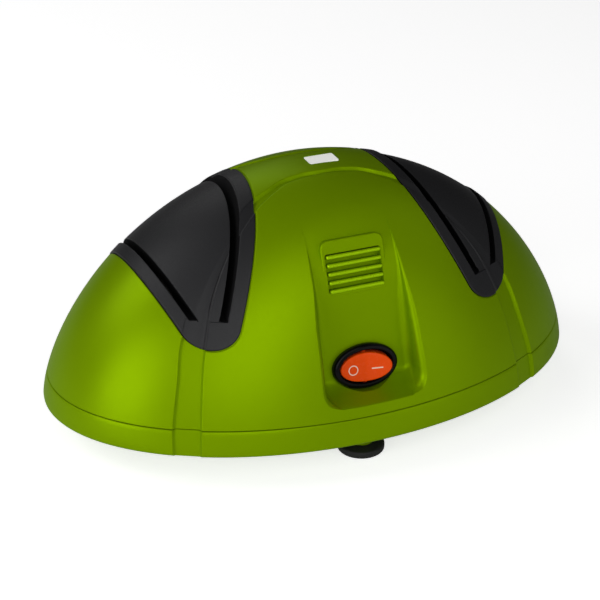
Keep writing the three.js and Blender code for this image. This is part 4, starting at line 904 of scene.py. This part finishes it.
def notch(inset, name="notch"):
    arc = notch_outline(inset, 48)
    top = crown + 4 * OVERRUN
    lean = math.tan(notch_size["lean"])
    inner, outer = arc[0], arc[-1]
    outline = [(inner[0] - (top - inner[1]) * lean, top)] + arc
    outline.append((outer[0] + (top - outer[1]) * lean, top))
    return prism(outline, -clear_out, clear_out, FALLING, name)


def slot_spread(height, y):
    """Distance between a slot's middle and the guide's middle, at a height above the rim."""
    above = height - slot_size["floor"] + notch_size["fall"] * y
    return slot_size["spread"] + above * math.tan(notch_size["lean"])


def along_slots(corners, reach, name="slot"):
    """Solid from rear to front. A corner is (side of the V, height above the rim, distance beside)."""
    rings = []
    for y in (reach, -reach):
        ring = []
        for side, height, beside in corners:
            x = notch_size["offset"] + side * slot_spread(height, y) + beside
            ring.append((x, y, housing["rim"] + height))
        rings.append(ring)
    return loft(rings, name)


def slot_slab(side, width, floor):
    half = width / 2 / math.cos(notch_size["lean"])
    top = housing["height"] + OVERRUN
    corners = [(side, floor, -half), (side, floor, half), (side, top, half), (side, top, -half)]
    return along_slots(corners, clear_out)


print("notch tip at", housing["rim"] + notch_size["tip"], "mm")

# %% [markdown]
# ## The front recess
#
# The recess is a scoop with a soft floor. At each level its section has a rounded edge towards
# the dome and a rounded foot towards the floor. Near the lower lip the floor curves forward into
# a ledge, which is a quarter round in height. Towards the crown the floor fades into the dome
# with no edge. Lofting many such sections gives the scoop.

# %% Recess cutter
recess_size = dict(top_half=16.83, low_half=19.6, lip=14.3, top=81.0, corner=7.0)
fade_size = dict(reach=1.6, least=0.05, ends_at=2.5, lift=0.03)
ledge_size = dict(height=6.0, reach=17.0, foot=3.0, edge=3.4)
floor_rows = [
    [14.3, 54], [24, 51.6], [53.5, 44.5], [62, 41], [67, 37.9],
    [70.5, 35.4], [73, 33.4], [77, 29.95], [81, 26.5],
]
floor_curve = smooth_curve(floor_rows, 801)


def recess_floor(height):
    """Distance of the floor from the middle plane at a height above the rim."""
    return float(np.interp(height, floor_curve[:, 0], floor_curve[:, 1]))


def quarter_round(height, radius):
    """Share by which a quarter round still stands out at a height, from 1 at its foot to 0."""
    below = min(max((radius - height) / radius, 0), 1)
    return 1 - math.sqrt(1 - below * below)


def faded(floor, skin, reach):
    """The nearer of floor and skin, with a soft turn where the two lie within reach of each other."""
    share = min(max(0.5 + (skin - floor) / reach / 2, 0), 1)
    return skin * (1 - share) + floor * share - reach * share * (1 - share)


print("recess floor at the switch:", round(recess_floor(23.4), 2), "mm from the middle plane")

# %% [markdown]
# Each section of the scoop is drawn from its right mouth down to the floor and mirrored. Grown by
# the wall, the same scoop gives the hollow of the shell behind the recess.

# %% Scoop through the sections
def recess(grow, levels=56, steps=7, across=24):
    low = recess_size["lip"] - grow
    narrowing = recess_size["top_half"] - recess_size["low_half"]
    quarter = [j / steps * math.pi / 2 for j in range(steps + 1)]
    rings = []
    for i in range(levels + 1):
        height = low + (1 - math.cos(i / levels * math.pi / 2)) * (recess_size["top"] - low)
        above = height - low
        share = (height - recess_size["lip"]) / (recess_size["top"] - recess_size["lip"])
        straight = recess_size["low_half"] + narrowing * share + grow
        half = straight - recess_size["corner"] * quarter_round(above, recess_size["corner"])
        ledge = ledge_size["reach"] * quarter_round(above, ledge_size["height"])
        floor_at = recess_floor(height) + ledge - grow
        z = housing["rim"] + height
        depth = max(float(skin_depth(half, z)) - floor_at, 0)
        mouth = floor_at + depth
        foot = min(ledge_size["foot"] + grow, depth / 2)
        edge = 0 if grow > 0 else min(ledge_size["edge"], depth / 2)
        right = [(half + edge, clear_out)]
        for turn in quarter:
            right.append((half + edge - edge * math.sin(turn), mouth - edge + edge * math.cos(turn)))
        for turn in quarter:
            right.append((half - foot + foot * math.cos(turn), floor_at + foot - foot * math.sin(turn)))
        for j in range(1, across):
            right.append(((half - foot) * (1 - j / across), floor_at))
        reach = fade_size["reach"] * max(1 - depth / fade_size["ends_at"], 0)
        if grow == 0 and reach > fade_size["least"]:
            skins = [float(skin_depth(x, z)) for x, y in right]
            right[1:] = [
                (x, faded(y, skin, reach) + fade_size["lift"]) for (x, y), skin in zip(right[1:], skins[1:])
            ]
        ring = right + [(0, right[-1][1])] + [(-x, y) for x, y in right[::-1]]
        rings.append([(x, -y, z) for x, y in ring])
    return loft(rings, "recess")


print("recess half width:", recess_size["low_half"], "mm at the lip,", recess_size["top_half"], "at the top")

# %% [markdown]
# ## Green upper shell
#
# The shell is the dome less its hollow, the recess, the ribbon and both notches. Skin and hollow
# come from the same formula, which keeps the wall nearly even all round.

# %% Shell with recess, ribbon and notches
SIDES, LEVELS = 320, 88  # facets round the dome and up it
shell_chamfer = 0.25
outer = dome(0, parting + GAP / 2, SIDES, LEVELS, shell_chamfer)
inner = dome(housing["wall"], housing["rim"], 128, 40)
cut(inner, recess(housing["wall"], 28, 3, 4))
shell = cut(outer, inner, recess(0, 100))
cut(shell, *map(copied, ribbon_tools))
right_notch = notch(0)
left_notch = mirror(copied(right_notch))
cut(shell, right_notch, left_notch)
print("bare shell faces:", len(shell.data.polygons))

# %% [markdown]
# ## Pad and bars
#
# A flat pad with round corners is set into the recess. Its five bars have round tops and stand in
# one pocket that shows beside their left ends and above the top one, so dark zones lie between
# them. Pad and bars are joined to the shell, because the real ones are one moulding with it.

# %% Pad, pocket and bars
pad_size = dict(lean=19.7 * DEGREE, half=12.8, low=51.0, high=71.0, depth=44.6)
pad_size |= dict(corner=3.4, root=4.0, edge=0.5)
bar_size = dict(length=22.1, thick=1.5, pitch=3.24, count=5, rise=0.8, low=52.9, root=1.0, edge=0.65)
pocket_size = dict(depth=2.6, margin=0.25)
pad_frame = leaning(-pad_size["depth"], housing["rim"] + bar_size["low"], pad_size["lean"])


def drawn_in(half_length, half_width, corner, steps=8):
    """Rounded outline as a function of the inset by which soft_prism draws it in."""
    return lambda inset: rounded_box(half_length - inset, half_width - inset, corner - inset, steps)


pad_low = (pad_size["low"] - bar_size["low"]) / math.cos(pad_size["lean"])
pad_high = (pad_size["high"] - bar_size["low"]) / math.cos(pad_size["lean"])
pad_middle = pad_frame @ Matrix.Translation((0, (pad_low + pad_high) / 2, 0))
pad_outline = drawn_in(pad_size["half"], (pad_high - pad_low) / 2, pad_size["corner"])
join(shell, soft_prism(pad_outline, -pad_size["root"], 0, pad_size["edge"], pad_middle))

half_length, half_width = bar_size["length"] / 2, bar_size["thick"] / 2
span = (bar_size["count"] - 1) * bar_size["pitch"] / 2
margin = pocket_size["margin"]
pocket_half = (half_length + margin, span + half_width + margin)
pocket_middle = pad_frame @ Matrix.Translation((-margin, span + margin, 0))
pocket_outline = rounded_box(*pocket_half, half_width + margin, 8)
cut(shell, prism(pocket_outline, -pocket_size["depth"], OVERRUN, pocket_middle))
bar_outline = drawn_in(half_length, half_width, half_width - 0.01)
bar_foot = -pocket_size["depth"] - bar_size["root"]
for i in range(bar_size["count"]):
    bar_frame = pad_frame @ Matrix.Translation((0, i * bar_size["pitch"], 0))
    join(shell, soft_prism(bar_outline, bar_foot, bar_size["rise"], bar_size["edge"], bar_frame))
print("bars:", bar_size["count"], "at a pitch of", bar_size["pitch"], "mm")

# %% [markdown]
# ## Seats in the shell
#
# The white plate, the switch and the cord's gland sit in openings, each the outline of its piece
# plus the clearance. Round the gland a boss thickens the wall. It is trimmed to the dome, so that
# nothing stands out of the skin.

# %% Openings for plate, switch and gland
plate_size = dict(offset=4.3, length=12.0, width=7.4, thick=1.1, corner=0.9, edge=0.2, settle=0.16)
switch_size = dict(height=23.4, lean=13.4 * DEGREE, length=13.25, width=8.6, rise=2.8, seat=51.747)
neck_size = dict(length=12.0, width=7.8, depth=6.0)
block_size = dict(half=9.5, half_width=6.0, top=3.0, depth=16.0)
gland_size = dict(offset=-35.0, height=21.5, sink=3.6, flange=5.7, neck=4.4)
switch_frame = leaning(-switch_size["seat"], housing["rim"] + switch_size["height"], switch_size["lean"])

plate_half = (plate_size["length"] / 2, plate_size["width"] / 2)
plate_top = crown - plate_size["settle"]
plate_hole = prism(
    rounded_box(plate_half[0] + GAP, plate_half[1] + GAP, plate_size["corner"] + GAP),
    plate_top - plate_size["thick"] - GAP, crown + OVERRUN,
)
cut(shell, moved(plate_hole, plate_size["offset"], 0))
neck_hole = oval(neck_size["length"] + GAP, neck_size["width"] + GAP)
ring_seat = oval(switch_size["length"] + GAP, switch_size["width"] + GAP)
cut(shell, prism(neck_hole, -block_size["depth"], OVERRUN, switch_frame))
cut(shell, prism(ring_seat, 0, OVERRUN, switch_frame))

gland_z = housing["rim"] + gland_size["height"]
gland_y = float(skin_depth(gland_size["offset"], gland_z)) - gland_size["sink"]
gland_frame = basis((gland_size["offset"], gland_y, gland_z), (-1, 0, 0), (0, 0, 1), (0, 1, 0))
boss = disc(gland_size["flange"] + GAP + housing["wall"], -housing["wall"], OVERRUN, 64, gland_frame)
join(shell, overlap(boss, dome(0, housing["rim"], SIDES, LEVELS)))
cut(
    shell,
    disc(gland_size["neck"] + GAP, -OVERRUN, OVERRUN, 64, gland_frame),
    disc(gland_size["flange"] + GAP, 0, OVERRUN, 64, gland_frame),
)
print("gland at", [round(v, 1) for v in gland_frame.translation])

# %% [markdown]
# ## Edges and painted highlight on the bars
#
# Fillets run along the edges of both notches. The faces of the bars get a brighter green, a
# painted highlight for the light that their round tops catch. They are found by their place over
# the pad.

# %% Notch fillets and finish of the shell
shell_fillet, highlight_faces = 0.45, 0
loop, into = notch_loop(0)
right_edge = edge_cutter(loop, into, shell_fillet, -1, "notch_edge")
left_edge = mirror(copied(right_edge))
cut(shell, right_edge, left_edge)
finished(shell, "upper_housing", "housing", "green_plastic", ["upper_housing"])
# painted highlight: the bar tops get the brighter green for the light they catch
shell.data.materials.append(finishes["green_painted_highlight"])
to_pad = pocket_middle.inverted()
for face in shell.data.polygons:
    x, y, height = to_pad @ (face.center / MM)
    if 0.05 < height < 1 and abs(x) < pocket_half[0] and abs(y) < pocket_half[1]:
        face.material_index = 1
        highlight_faces += 1
print("faces on the bright bars:", highlight_faces)

# %% [markdown]
# ## Base tray
#
# The tray closes the machine from below. Its ring continues the dome's surface down to the rim,
# and a lip inside it locates the shell. The floor carries the feet's bosses, the sleeves for the
# four long screws, the motor's saddles, the board's posts and a row of vents.

# %% Tray ring and floor
rim = housing["rim"]
tray = dict(lift=1.5, thick=2.4, lip=1.3, lip_rise=2.2, lip_root=2.5, round_off=1.2, chamfer=0.25)
tray_low = rim + tray["lift"]
tray_top = tray_low + tray["thick"]
ring_top = parting - GAP / 2
round_top, wall_top = rim + tray["round_off"], ring_top - tray["chamfer"]
inside = housing["wall"] + GAP
lip_inside = inside + tray["lip"]
lip_foot = ring_top - tray["lip_root"]
section = [(1.2, rim), (0.5, rim + 0.18), (0.12, rim + 0.6), (0.0, round_top)]
section += [(0, round_top + (wall_top - round_top) * i / 6) for i in range(1, 7)]
section += [
    (tray["chamfer"], ring_top), (inside, ring_top), (inside, ring_top + tray["lip_rise"]),
    (lip_inside, ring_top + tray["lip_rise"]), (lip_inside, lip_foot),
    (housing["wall"], lip_foot - tray["lip"]), (housing["wall"], rim),
]
base = loft([level_ring(inset, z, SIDES) for inset, z in section], "base", closed=True)
join(base, loft([level_ring(housing["wall"] - 1, z, 160) for z in (tray_low, tray_top)]))
print("tray floor from", tray_low, "to", tray_top, "mm")

# %% [markdown]
# Bosses and sleeves are turned pieces that sink a little into the floor, so that each joins it
# cleanly. The bosses reach down through the floor to carry the feet.

# %% Bosses, sleeves and posts
foot_size = dict(radius=9.2, thick=2.9, lip=0.8, cup=5.0, cup_depth=0.7, stem=2.5, stem_length=6.0)
foot_places = {"front": (0, -50.99), "rear": (0, 50.99), "left": (-75.02, 0), "right": (75.02, 0)}
sleeve_places = [(-84.04, -23.99), (84.04, -23.99), (-84.04, 23.99), (84.04, 23.99)]
post_places = [(17, 35), (43, 35), (17, 51), (43, 51)]
stem_bore = foot_size["stem"] + GAP
boss_profile = [
    (stem_bore, 3.2), (4.2, 3.2), (4.7, 3.5), (4.95, 4.2),
    (6.0, tray_low), (6.0, tray_low + 1), (stem_bore, tray_low + 1),
]
post_profile = [(1.4, tray_top), (2.6, tray_top - 1), (2.6, tray_top + 6), (1.4, tray_top + 6)]
sleeve_radius, sleeve_rise = 5.3, 11
for x, y in foot_places.values():
    join(base, moved(turned(boss_profile, 64), x, y))
for x, y in sleeve_places:
    join(base, moved(disc(sleeve_radius, tray_low, tray_top + sleeve_rise), x, y))
for x, y in post_places:
    join(base, moved(turned(post_profile, 40), x, y))
print("bosses, sleeves and posts:", len(foot_places), len(sleeve_places), len(post_places))

# %% [markdown]
# The two saddles are plates across the floor, each with a round seat for the motor case. Their
# top corners take the screws of the straps.

# %% Motor saddles
shaft_z = rim + 30
can_seat = 21 + GAP
saddle = dict(offset=17, half_thick=2, half_width=30, below_shaft=4)
saddle |= dict(screw_offset=26.5, screw_bore=1.4, screw_deep=9)
saddle_top = shaft_z - saddle["below_shaft"]
start = -math.asin(saddle["below_shaft"] / can_seat)
seat = [
    (can_seat * math.cos(a), shaft_z + can_seat * math.sin(a))
    for a in np.linspace(start, -start - math.pi, 49)
]
saddle_outline = [(-saddle["half_width"], tray_top - 1), (saddle["half_width"], tray_top - 1)]
saddle_outline += [(saddle["half_width"], saddle_top)] + seat + [(-saddle["half_width"], saddle_top)]
for x in (-saddle["offset"], saddle["offset"]):
    plate = prism(saddle_outline, x - saddle["half_thick"], x + saddle["half_thick"], SIDE)
    for y in (-saddle["screw_offset"], saddle["screw_offset"]):
        bore = disc(saddle["screw_bore"], saddle_top - saddle["screw_deep"], saddle_top + OVERRUN, 32)
        cut(plate, moved(bore, x, y))
    join(base, plate)
print("saddles up to", saddle_top, "mm, shaft at", shaft_z, "mm")

# %% [markdown]
# The holes come last, so that nothing joined later can close them: the wells of the long screws,
# the bores for the feet's stems and five vents. The ribbon's cutters then run on over the ring.

# %% Screw wells, stem bores, vents and ribbon
screw_well = dict(bore=1.7, head=3.4, bore_top=60, head_top=tray_low + 3.2 + 2.5)
vent = dict(half_width=1.2, half_length=13, corner=1.19, pitch=6, count=5)
for x, y in sleeve_places:
    cut(base, moved(disc(screw_well["bore"], rim, screw_well["bore_top"], 32), x, y))
    cut(base, moved(disc(screw_well["head"], rim - 3, screw_well["head_top"], 48), x, y))
stem_top = foot_size["thick"] + foot_size["stem_length"] + 2 * GAP
for x, y in foot_places.values():
    cut(base, moved(disc(stem_bore, 0, stem_top, 48), x, y))
for i in range(vent["count"]):
    opening = rounded_box(vent["half_width"], vent["half_length"], vent["corner"], 8)
    cut(base, moved(prism(opening, rim, tray_top + 1), (i - 2) * vent["pitch"], 0))
cut(base, *map(copied, ribbon_tools))
finished(base, "base_tray", "housing", "green_plastic", ["base_tray"])

# %% [markdown]
# ## Guide inserts
#
# Each black insert fills a notch. It is a hollow V with two slots that close in on the wheel. The
# skin beside the slots stands a hair out of the green one, and the tongue between them lies lower,
# so that a blade finds the slot. Both are the dome's own skin, shifted.

# %% Skin and tongue of an insert
insert = overlap(moved(dome(0, housing["rim"], SIDES, LEVELS), *rim_move), notch(GAP))
slot_floor, slot_top = slot_size["floor"], housing["height"] + OVERRUN
tongue_corners = [(-1, slot_floor, 0), (1, slot_floor, 0), (1, slot_top, 0), (-1, slot_top, 0)]
past_dome = 76  # from the middle plane to just outside the dome
tongue = along_slots(tongue_corners, past_dome, "tongue")
cut(insert, cut(tongue, moved(dome(0, housing["rim"], SIDES, LEVELS), *tongue_move)))
print("insert skin faces:", len(insert.data.polygons))

# %% [markdown]
# Thin walls guide the blade below the skin, and the inside is cleared for the wheel and its
# shaft. The hollow is made first, with the guide walls cut out of it, and then taken away.

# %% Hollow, slots and room for the wheel
room_inside = overlap(dome(housing["wall"], housing["rim"], 96, 32), notch(GAP + insert_wall))
guide_width = slot_size["width"] + 2 * slot_size["guide"]
for side in (-1, 1):
    cut(room_inside, slot_slab(side, guide_width, slot_floor - slot_size["guide"]))
cut(insert, room_inside)
for side in (-1, 1):
    cut(insert, slot_slab(side, slot_size["width"], slot_floor))
shaft_frame = basis((0, 0, shaft_z), (0, 1, 0), (0, 0, 1), (1, 0, 0))
wheel = dict(offset=57.0, radius=22.0, thick=14.6, room=1.5, chamfer=0.6, flange=7.5, bore=4.3)
wheel_in, wheel_out = wheel["offset"] - wheel["thick"] / 2, wheel["offset"] + wheel["thick"] / 2
room_in, room_out = wheel_in - wheel["room"], wheel_out + wheel["room"]
cut(insert, disc(wheel["radius"] + wheel["room"], room_in, room_out, 128, shaft_frame))
cut(insert, disc(wheel["flange"] + wheel["room"], 0, housing["length"] / 2, 96, shaft_frame))
print("room for the wheel from", round(room_in, 2), "to", round(room_out, 2), "mm beside the middle")

# %% [markdown]
# The outer edge of the insert gets a fillet against the green shell, and the long edges of each
# slot are broken as well. The rim side and the tongue side lie on differently shifted skins, so
# each has its own path.

# %% Edges of the insert and its slots
insert_fillet, slot_fillet = 0.55, 0.3
loop, into = notch_loop(GAP, rim_move)
cut(insert, edge_cutter(loop, into, insert_fillet, 1, "insert_edge", rim_move))


def slot_edges(side):
    """Cutters that break the two long edges of a slot's mouth, one on the rim, one on the tongue."""
    made = []
    lean = notch_size["lean"]
    for beside in (-1, 1):
        move = tongue_move if beside * side < 0 else rim_move
        x0 = notch_size["offset"] + side * slot_size["spread"] + beside * half_slot
        path = side_path(x0, slot_foot, side * math.tan(lean), 0.0, move)
        away = Vector((beside * math.cos(lean), 0, -side * beside * math.sin(lean)))
        across, out = [], []
        tangents = directions_along(path)
        tangents[0], tangents[-1] = tangents[1], tangents[-2]
        for p, along in zip(path, tangents):
            normal = skin_normal(p.x - move[0], p.y, p.z - move[2])
            normal = (normal - along * normal.dot(along)).normalized()
            across.append((away - along * away.dot(along) - normal * away.dot(normal)).normalized())
            out.append(normal)
        made.append(sweep(path, across, out, fillet_section(slot_fillet, 3), "slot_edge", closed=False))
    return made


for side in (-1, 1):
    cut(insert, *slot_edges(side))
cut(insert, *map(copied, soft_ribbon_tools))
print("insert with broken edges, faces:", len(insert.data.polygons))

# %% [markdown]
# The left insert is the mirror of the right one. The walls of the slots get a rough, nearly
# black colour of their own, which is painted shade for the dark inside a slot.

# %% Both inserts
def paint_slot_shade(piece):
    """Paints shade on the walls of the slots: a rough, nearly black colour of their own."""
    piece.data.materials.append(finishes["slot_painted_shade"])
    count, slack = 0, 0.06
    for face in piece.data.polygons:
        x, y, z = face.center / MM
        beside = abs(abs(x) - notch_size["offset"]) - slot_spread(z - housing["rim"], y)
        if abs(beside) < half_slot + slack and z > slot_foot - slack / 3:
            face.material_index = 1
            count += 1
    print(piece.name, "slot wall faces", count)


left_insert = mirror(copied(insert))
paint_slot_shade(finished(insert, "right_guide_insert", "housing", "black_plastic", ["right_guide_insert"]))
paint_slot_shade(finished(left_insert, "left_guide_insert", "housing", "black_plastic", ["left_guide_insert"]))

# %% [markdown]
# ## Crown plate
#
# A small white plate is let into the crown, its top a hair below the green skin.

# %% Plate
plate_outline = drawn_in(*plate_half, plate_size["corner"])
crown_plate = soft_prism(plate_outline, plate_top - plate_size["thick"], plate_top, plate_size["edge"])
moved(crown_plate, plate_size["offset"], 0)
# the plate's finish glows by itself, which is painted light
finished(crown_plate, "top_plate", "housing", "white_plastic", ["top_plate"], finish="plate_painted_glow")

# %% [markdown]
# ## Switch
#
# The switch is a snap-in oval: a black gloss ring, a neck and a block behind it in one moulding.
# The ring's crest is round, and a small step round the well catches a thin line of light.

# %% Switch body
def oval_rings(rows, matrix, sides=128):
    return loft([raised(oval(a, b, sides), height, matrix) for a, b, height in rows])


rise, crest = switch_size["rise"], 1.3
ring_half = (switch_size["length"], switch_size["width"])
bezel_rows = [(*ring_half, GAP), (*ring_half, rise - crest)]
for i in range(1, 9):
    turn = i / 8 * math.pi / 2
    inset = crest * (1 - math.cos(turn))
    bezel_rows.append((ring_half[0] - inset, ring_half[1] - inset, rise - crest + crest * math.sin(turn)))
case = oval_rings(bezel_rows, switch_frame)
neck = oval(neck_size["length"], neck_size["width"])
join(case, prism(neck, -neck_size["depth"], rise / 2, switch_frame))


def box(half, half_width):
    return [(-half, -half_width), (half, -half_width), (half, half_width), (-half, half_width)]


block = box(block_size["half"], block_size["half_width"])
join(case, prism(block, -block_size["depth"], -block_size["top"], switch_frame))
print("switch ring", 2 * ring_half[0], "by", 2 * ring_half[1], "mm")

# %% [markdown]
# The well for the rocker is cut from the front, with its small step at the mouth. Two round
# sockets in its long sides carry the rocker's trunnions, and two slots at the back hold the
# terminal blades.

# %% Well, sockets and terminal slots
well_size = dict(length=10.7, width=6.3, depth=7.5, step=0.45)
pivot_size = dict(below=2.4, socket=1.2, socket_reach=6.75, trunnion=0.9, trunnion_reach=6.45)
blade_slot = dict(offset=5, half=2.7, half_width=0.7, low=-22, high=-13.7)
well = (well_size["length"], well_size["width"])
wide_well = (well[0] + well_size["step"], well[1] + well_size["step"])
cut(case, prism(oval(*well, 128), rise - well_size["depth"], OVERRUN, switch_frame))
step_rows = [(*well, rise - well_size["step"]), (*wide_well, rise), (*wide_well, rise + 1)]
cut(case, oval_rings(step_rows, switch_frame))
pivot_frame = switch_frame @ Matrix.Translation((0, 0, rise - pivot_size["below"]))
TURNED_ACROSS = basis((0, 0, 0), (1, 0, 0), (0, 0, -1), (0, 1, 0))
reach = pivot_size["socket_reach"]
cut(case, disc(pivot_size["socket"], -reach, reach, 32, pivot_frame @ TURNED_ACROSS))
for x in (-blade_slot["offset"], blade_slot["offset"]):
    blade_frame = switch_frame @ Matrix.Translation((x, 0, 0))
    blade = box(blade_slot["half"], blade_slot["half_width"])
    cut(case, prism(blade, blade_slot["low"], blade_slot["high"], blade_frame))
finished(case, "switch_body", "housing", "gloss_black", ["switch_body"])

# %% [markdown]
# The rocker is an orange oval button on two trunnions. Its face is bent in the middle, so that
# either end can be pressed. It rests with the O side down. The two marks are thin inlays, a ring
# for off and a bar for on, which stand a hair proud and follow the face.

# %% Rocker and its marks
rocker = dict(length=10.05, width=5.65, skirt=2.6, rise=3.1, lean=9 * DEGREE, edge=0.7, bend=0.8)
tilt_at_rest = -10 * DEGREE
rocker_frame = pivot_frame @ Matrix.Rotation(tilt_at_rest, 4, "Y")


def face_height(x):
    bend = rocker["bend"]
    return rocker["rise"] + (math.sqrt(x * x + bend * bend) - bend) * math.tan(rocker["lean"])


def face_ring(half, half_width, drop=0.0):
    """Oval ring that follows the bent face, lowered by drop."""
    return [(x, y, face_height(x) - drop) for x, y in oval(half, half_width, 128)]


rows = [
    [(x, y, level) for x, y in oval(rocker["length"], rocker["width"], 128)]
    for level in (-rocker["skirt"], 0.5)
]
for i in range(8):
    turn = i / 7 * math.pi / 2
    inset = rocker["edge"] * (1 - math.cos(turn))
    drop = rocker["edge"] * (1 - math.sin(turn))
    rows.append(face_ring(rocker["length"] - inset, rocker["width"] - inset, drop))
flat_half = (rocker["length"] - rocker["edge"], rocker["width"] - rocker["edge"])
for i in range(1, 13):
    share = 1 - i / 12
    rows.append(face_ring(flat_half[0] * share, flat_half[1] * share))
button = loft([placed(ring, rocker_frame) for ring in rows], "button")
reach = pivot_size["trunnion_reach"]
join(button, disc(pivot_size["trunnion"], -reach, reach, 32, rocker_frame @ TURNED_ACROSS))
finished(button, "switch_rocker", "rocker", "orange_plastic", ["switch_rocker"], sharp=30)

# %% [markdown]
# The marks follow the same bent face. A ring is a closed loft through an outer and an inner
# outline, and the bar is a thin rounded slab.

# %% Marks for off and on
def mark(outline_outer, outline_inner, name):
    """Thin inlay that follows the rocker's face, as a ring or, without an inner outline, a bar."""
    proud, deep = 0.03, 0.2  # above the face and into it
    loops = [outline_outer] + ([outline_inner] if outline_inner else [])
    rings = []
    for loop, levels in zip(loops, ((-deep, proud), (proud, -deep))):
        for level in levels:
            rings.append(placed([(x, y, face_height(x) + level) for x, y in loop], rocker_frame))
    made = loft(rings, name, closed=bool(outline_inner))
    return finished(made, name, "rocker", "white_plastic", sharp=30, finish="mark_white")


off_size = dict(x=-5.1, y=-0.4, outer=1.95, inner=1.58)
on_size = dict(x=4.3, y=-0.7, half=2.15, half_width=0.24, corner=0.1)
ring_outer, ring_inner = [
    [(off_size["x"] + x, off_size["y"] + y) for x, y in oval(radius, radius, 64)]
    for radius in (off_size["outer"], off_size["inner"])
]
mark(ring_outer, ring_inner, "mark_off")
bar = rounded_box(on_size["half"], on_size["half_width"], on_size["corner"], 3)
mark([(on_size["x"] + x, on_size["y"] + y) for x, y in bar], None, "mark_on")

# %% [markdown]
# ## Feet
#
# Four rubber feet carry the machine. Each is a turned disc with a rounded rim, a shallow suction
# cup below and a stem pressed up into the tray's boss.

# %% Feet
def foot_profile():
    r, t, lip = foot_size["radius"], foot_size["thick"], foot_size["lip"]
    cup, depth = foot_size["cup"], foot_size["cup_depth"]
    profile = [(0, depth), (cup, depth), (cup + 0.25, depth * 0.6), (cup + depth, 0)]
    profile += [
        (r - lip + lip * math.sin(a), lip - lip * math.cos(a)) for a in np.linspace(0, math.pi / 2, 7)
    ]
    profile += [
        (r - lip + lip * math.cos(a), t - lip + lip * math.sin(a)) for a in np.linspace(0, math.pi / 2, 7)
    ]
    stem, length = foot_size["stem"], foot_size["stem_length"]
    return profile + [(stem, t), (stem, t + length), (0, t + length)]


for place, (x, y) in foot_places.items():
    rubber = moved(turned(foot_profile(), 96), x, y)
    finished(rubber, f"foot_{place}", "housing", "black_rubber", [f"foot_{place}"])

# %% [markdown]
# ## Grinding wheels
#
# A wheel shows only as a dark shape at the bottom of each slot, but it is what the machine is
# for. It is a flat disc with broken edges. Its finish is coarse, dark grey and almost without
# shine, and the dark grey is partly painted shade for the bottom of the slots.

# %% Wheels
radius, chamfer, bore = wheel["radius"], wheel["chamfer"], wheel["bore"]
stone_profile = [
    (bore, wheel_in), (radius - chamfer, wheel_in), (radius, wheel_in + chamfer),
    (radius, wheel_out - chamfer), (radius - chamfer, wheel_out), (bore, wheel_out),
]
for side in ("right", "left"):
    stone = turned(stone_profile, 128, shaft_frame)
    if side == "left":
        mirror(stone)
    finished(stone, f"grinding_wheel_{side}", "rotor", "abrasive", [f"grinding_wheel_{side}"], sharp=25)

# %% [markdown]
# ## Pieces that keep their modelled shape
#
# The motor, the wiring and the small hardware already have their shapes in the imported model. Each
# only gets the finish of the slot that its node names.

# %% Finishes for the carried-over nodes
node_slots = {row["node"]: row["material_slot"] for row in frame["record"]["subparts"]}
kept = [name for name, held in frame["nodes"].items() if not held.hide_render]
for name in kept:
    held = frame["nodes"][name]
    held.data.materials.clear()
    held.data.materials.append(finishes[node_slots[name]])
print("carried-over nodes dressed:", len(kept))

# %% [markdown]
# ## Finish
#
# The ribbon's cutters were only used through copies, so the originals are removed last.

# %% Remove the spare cutters
for tool in ribbon_tools + soft_ribbon_tools:
    bpy.data.objects.remove(tool)
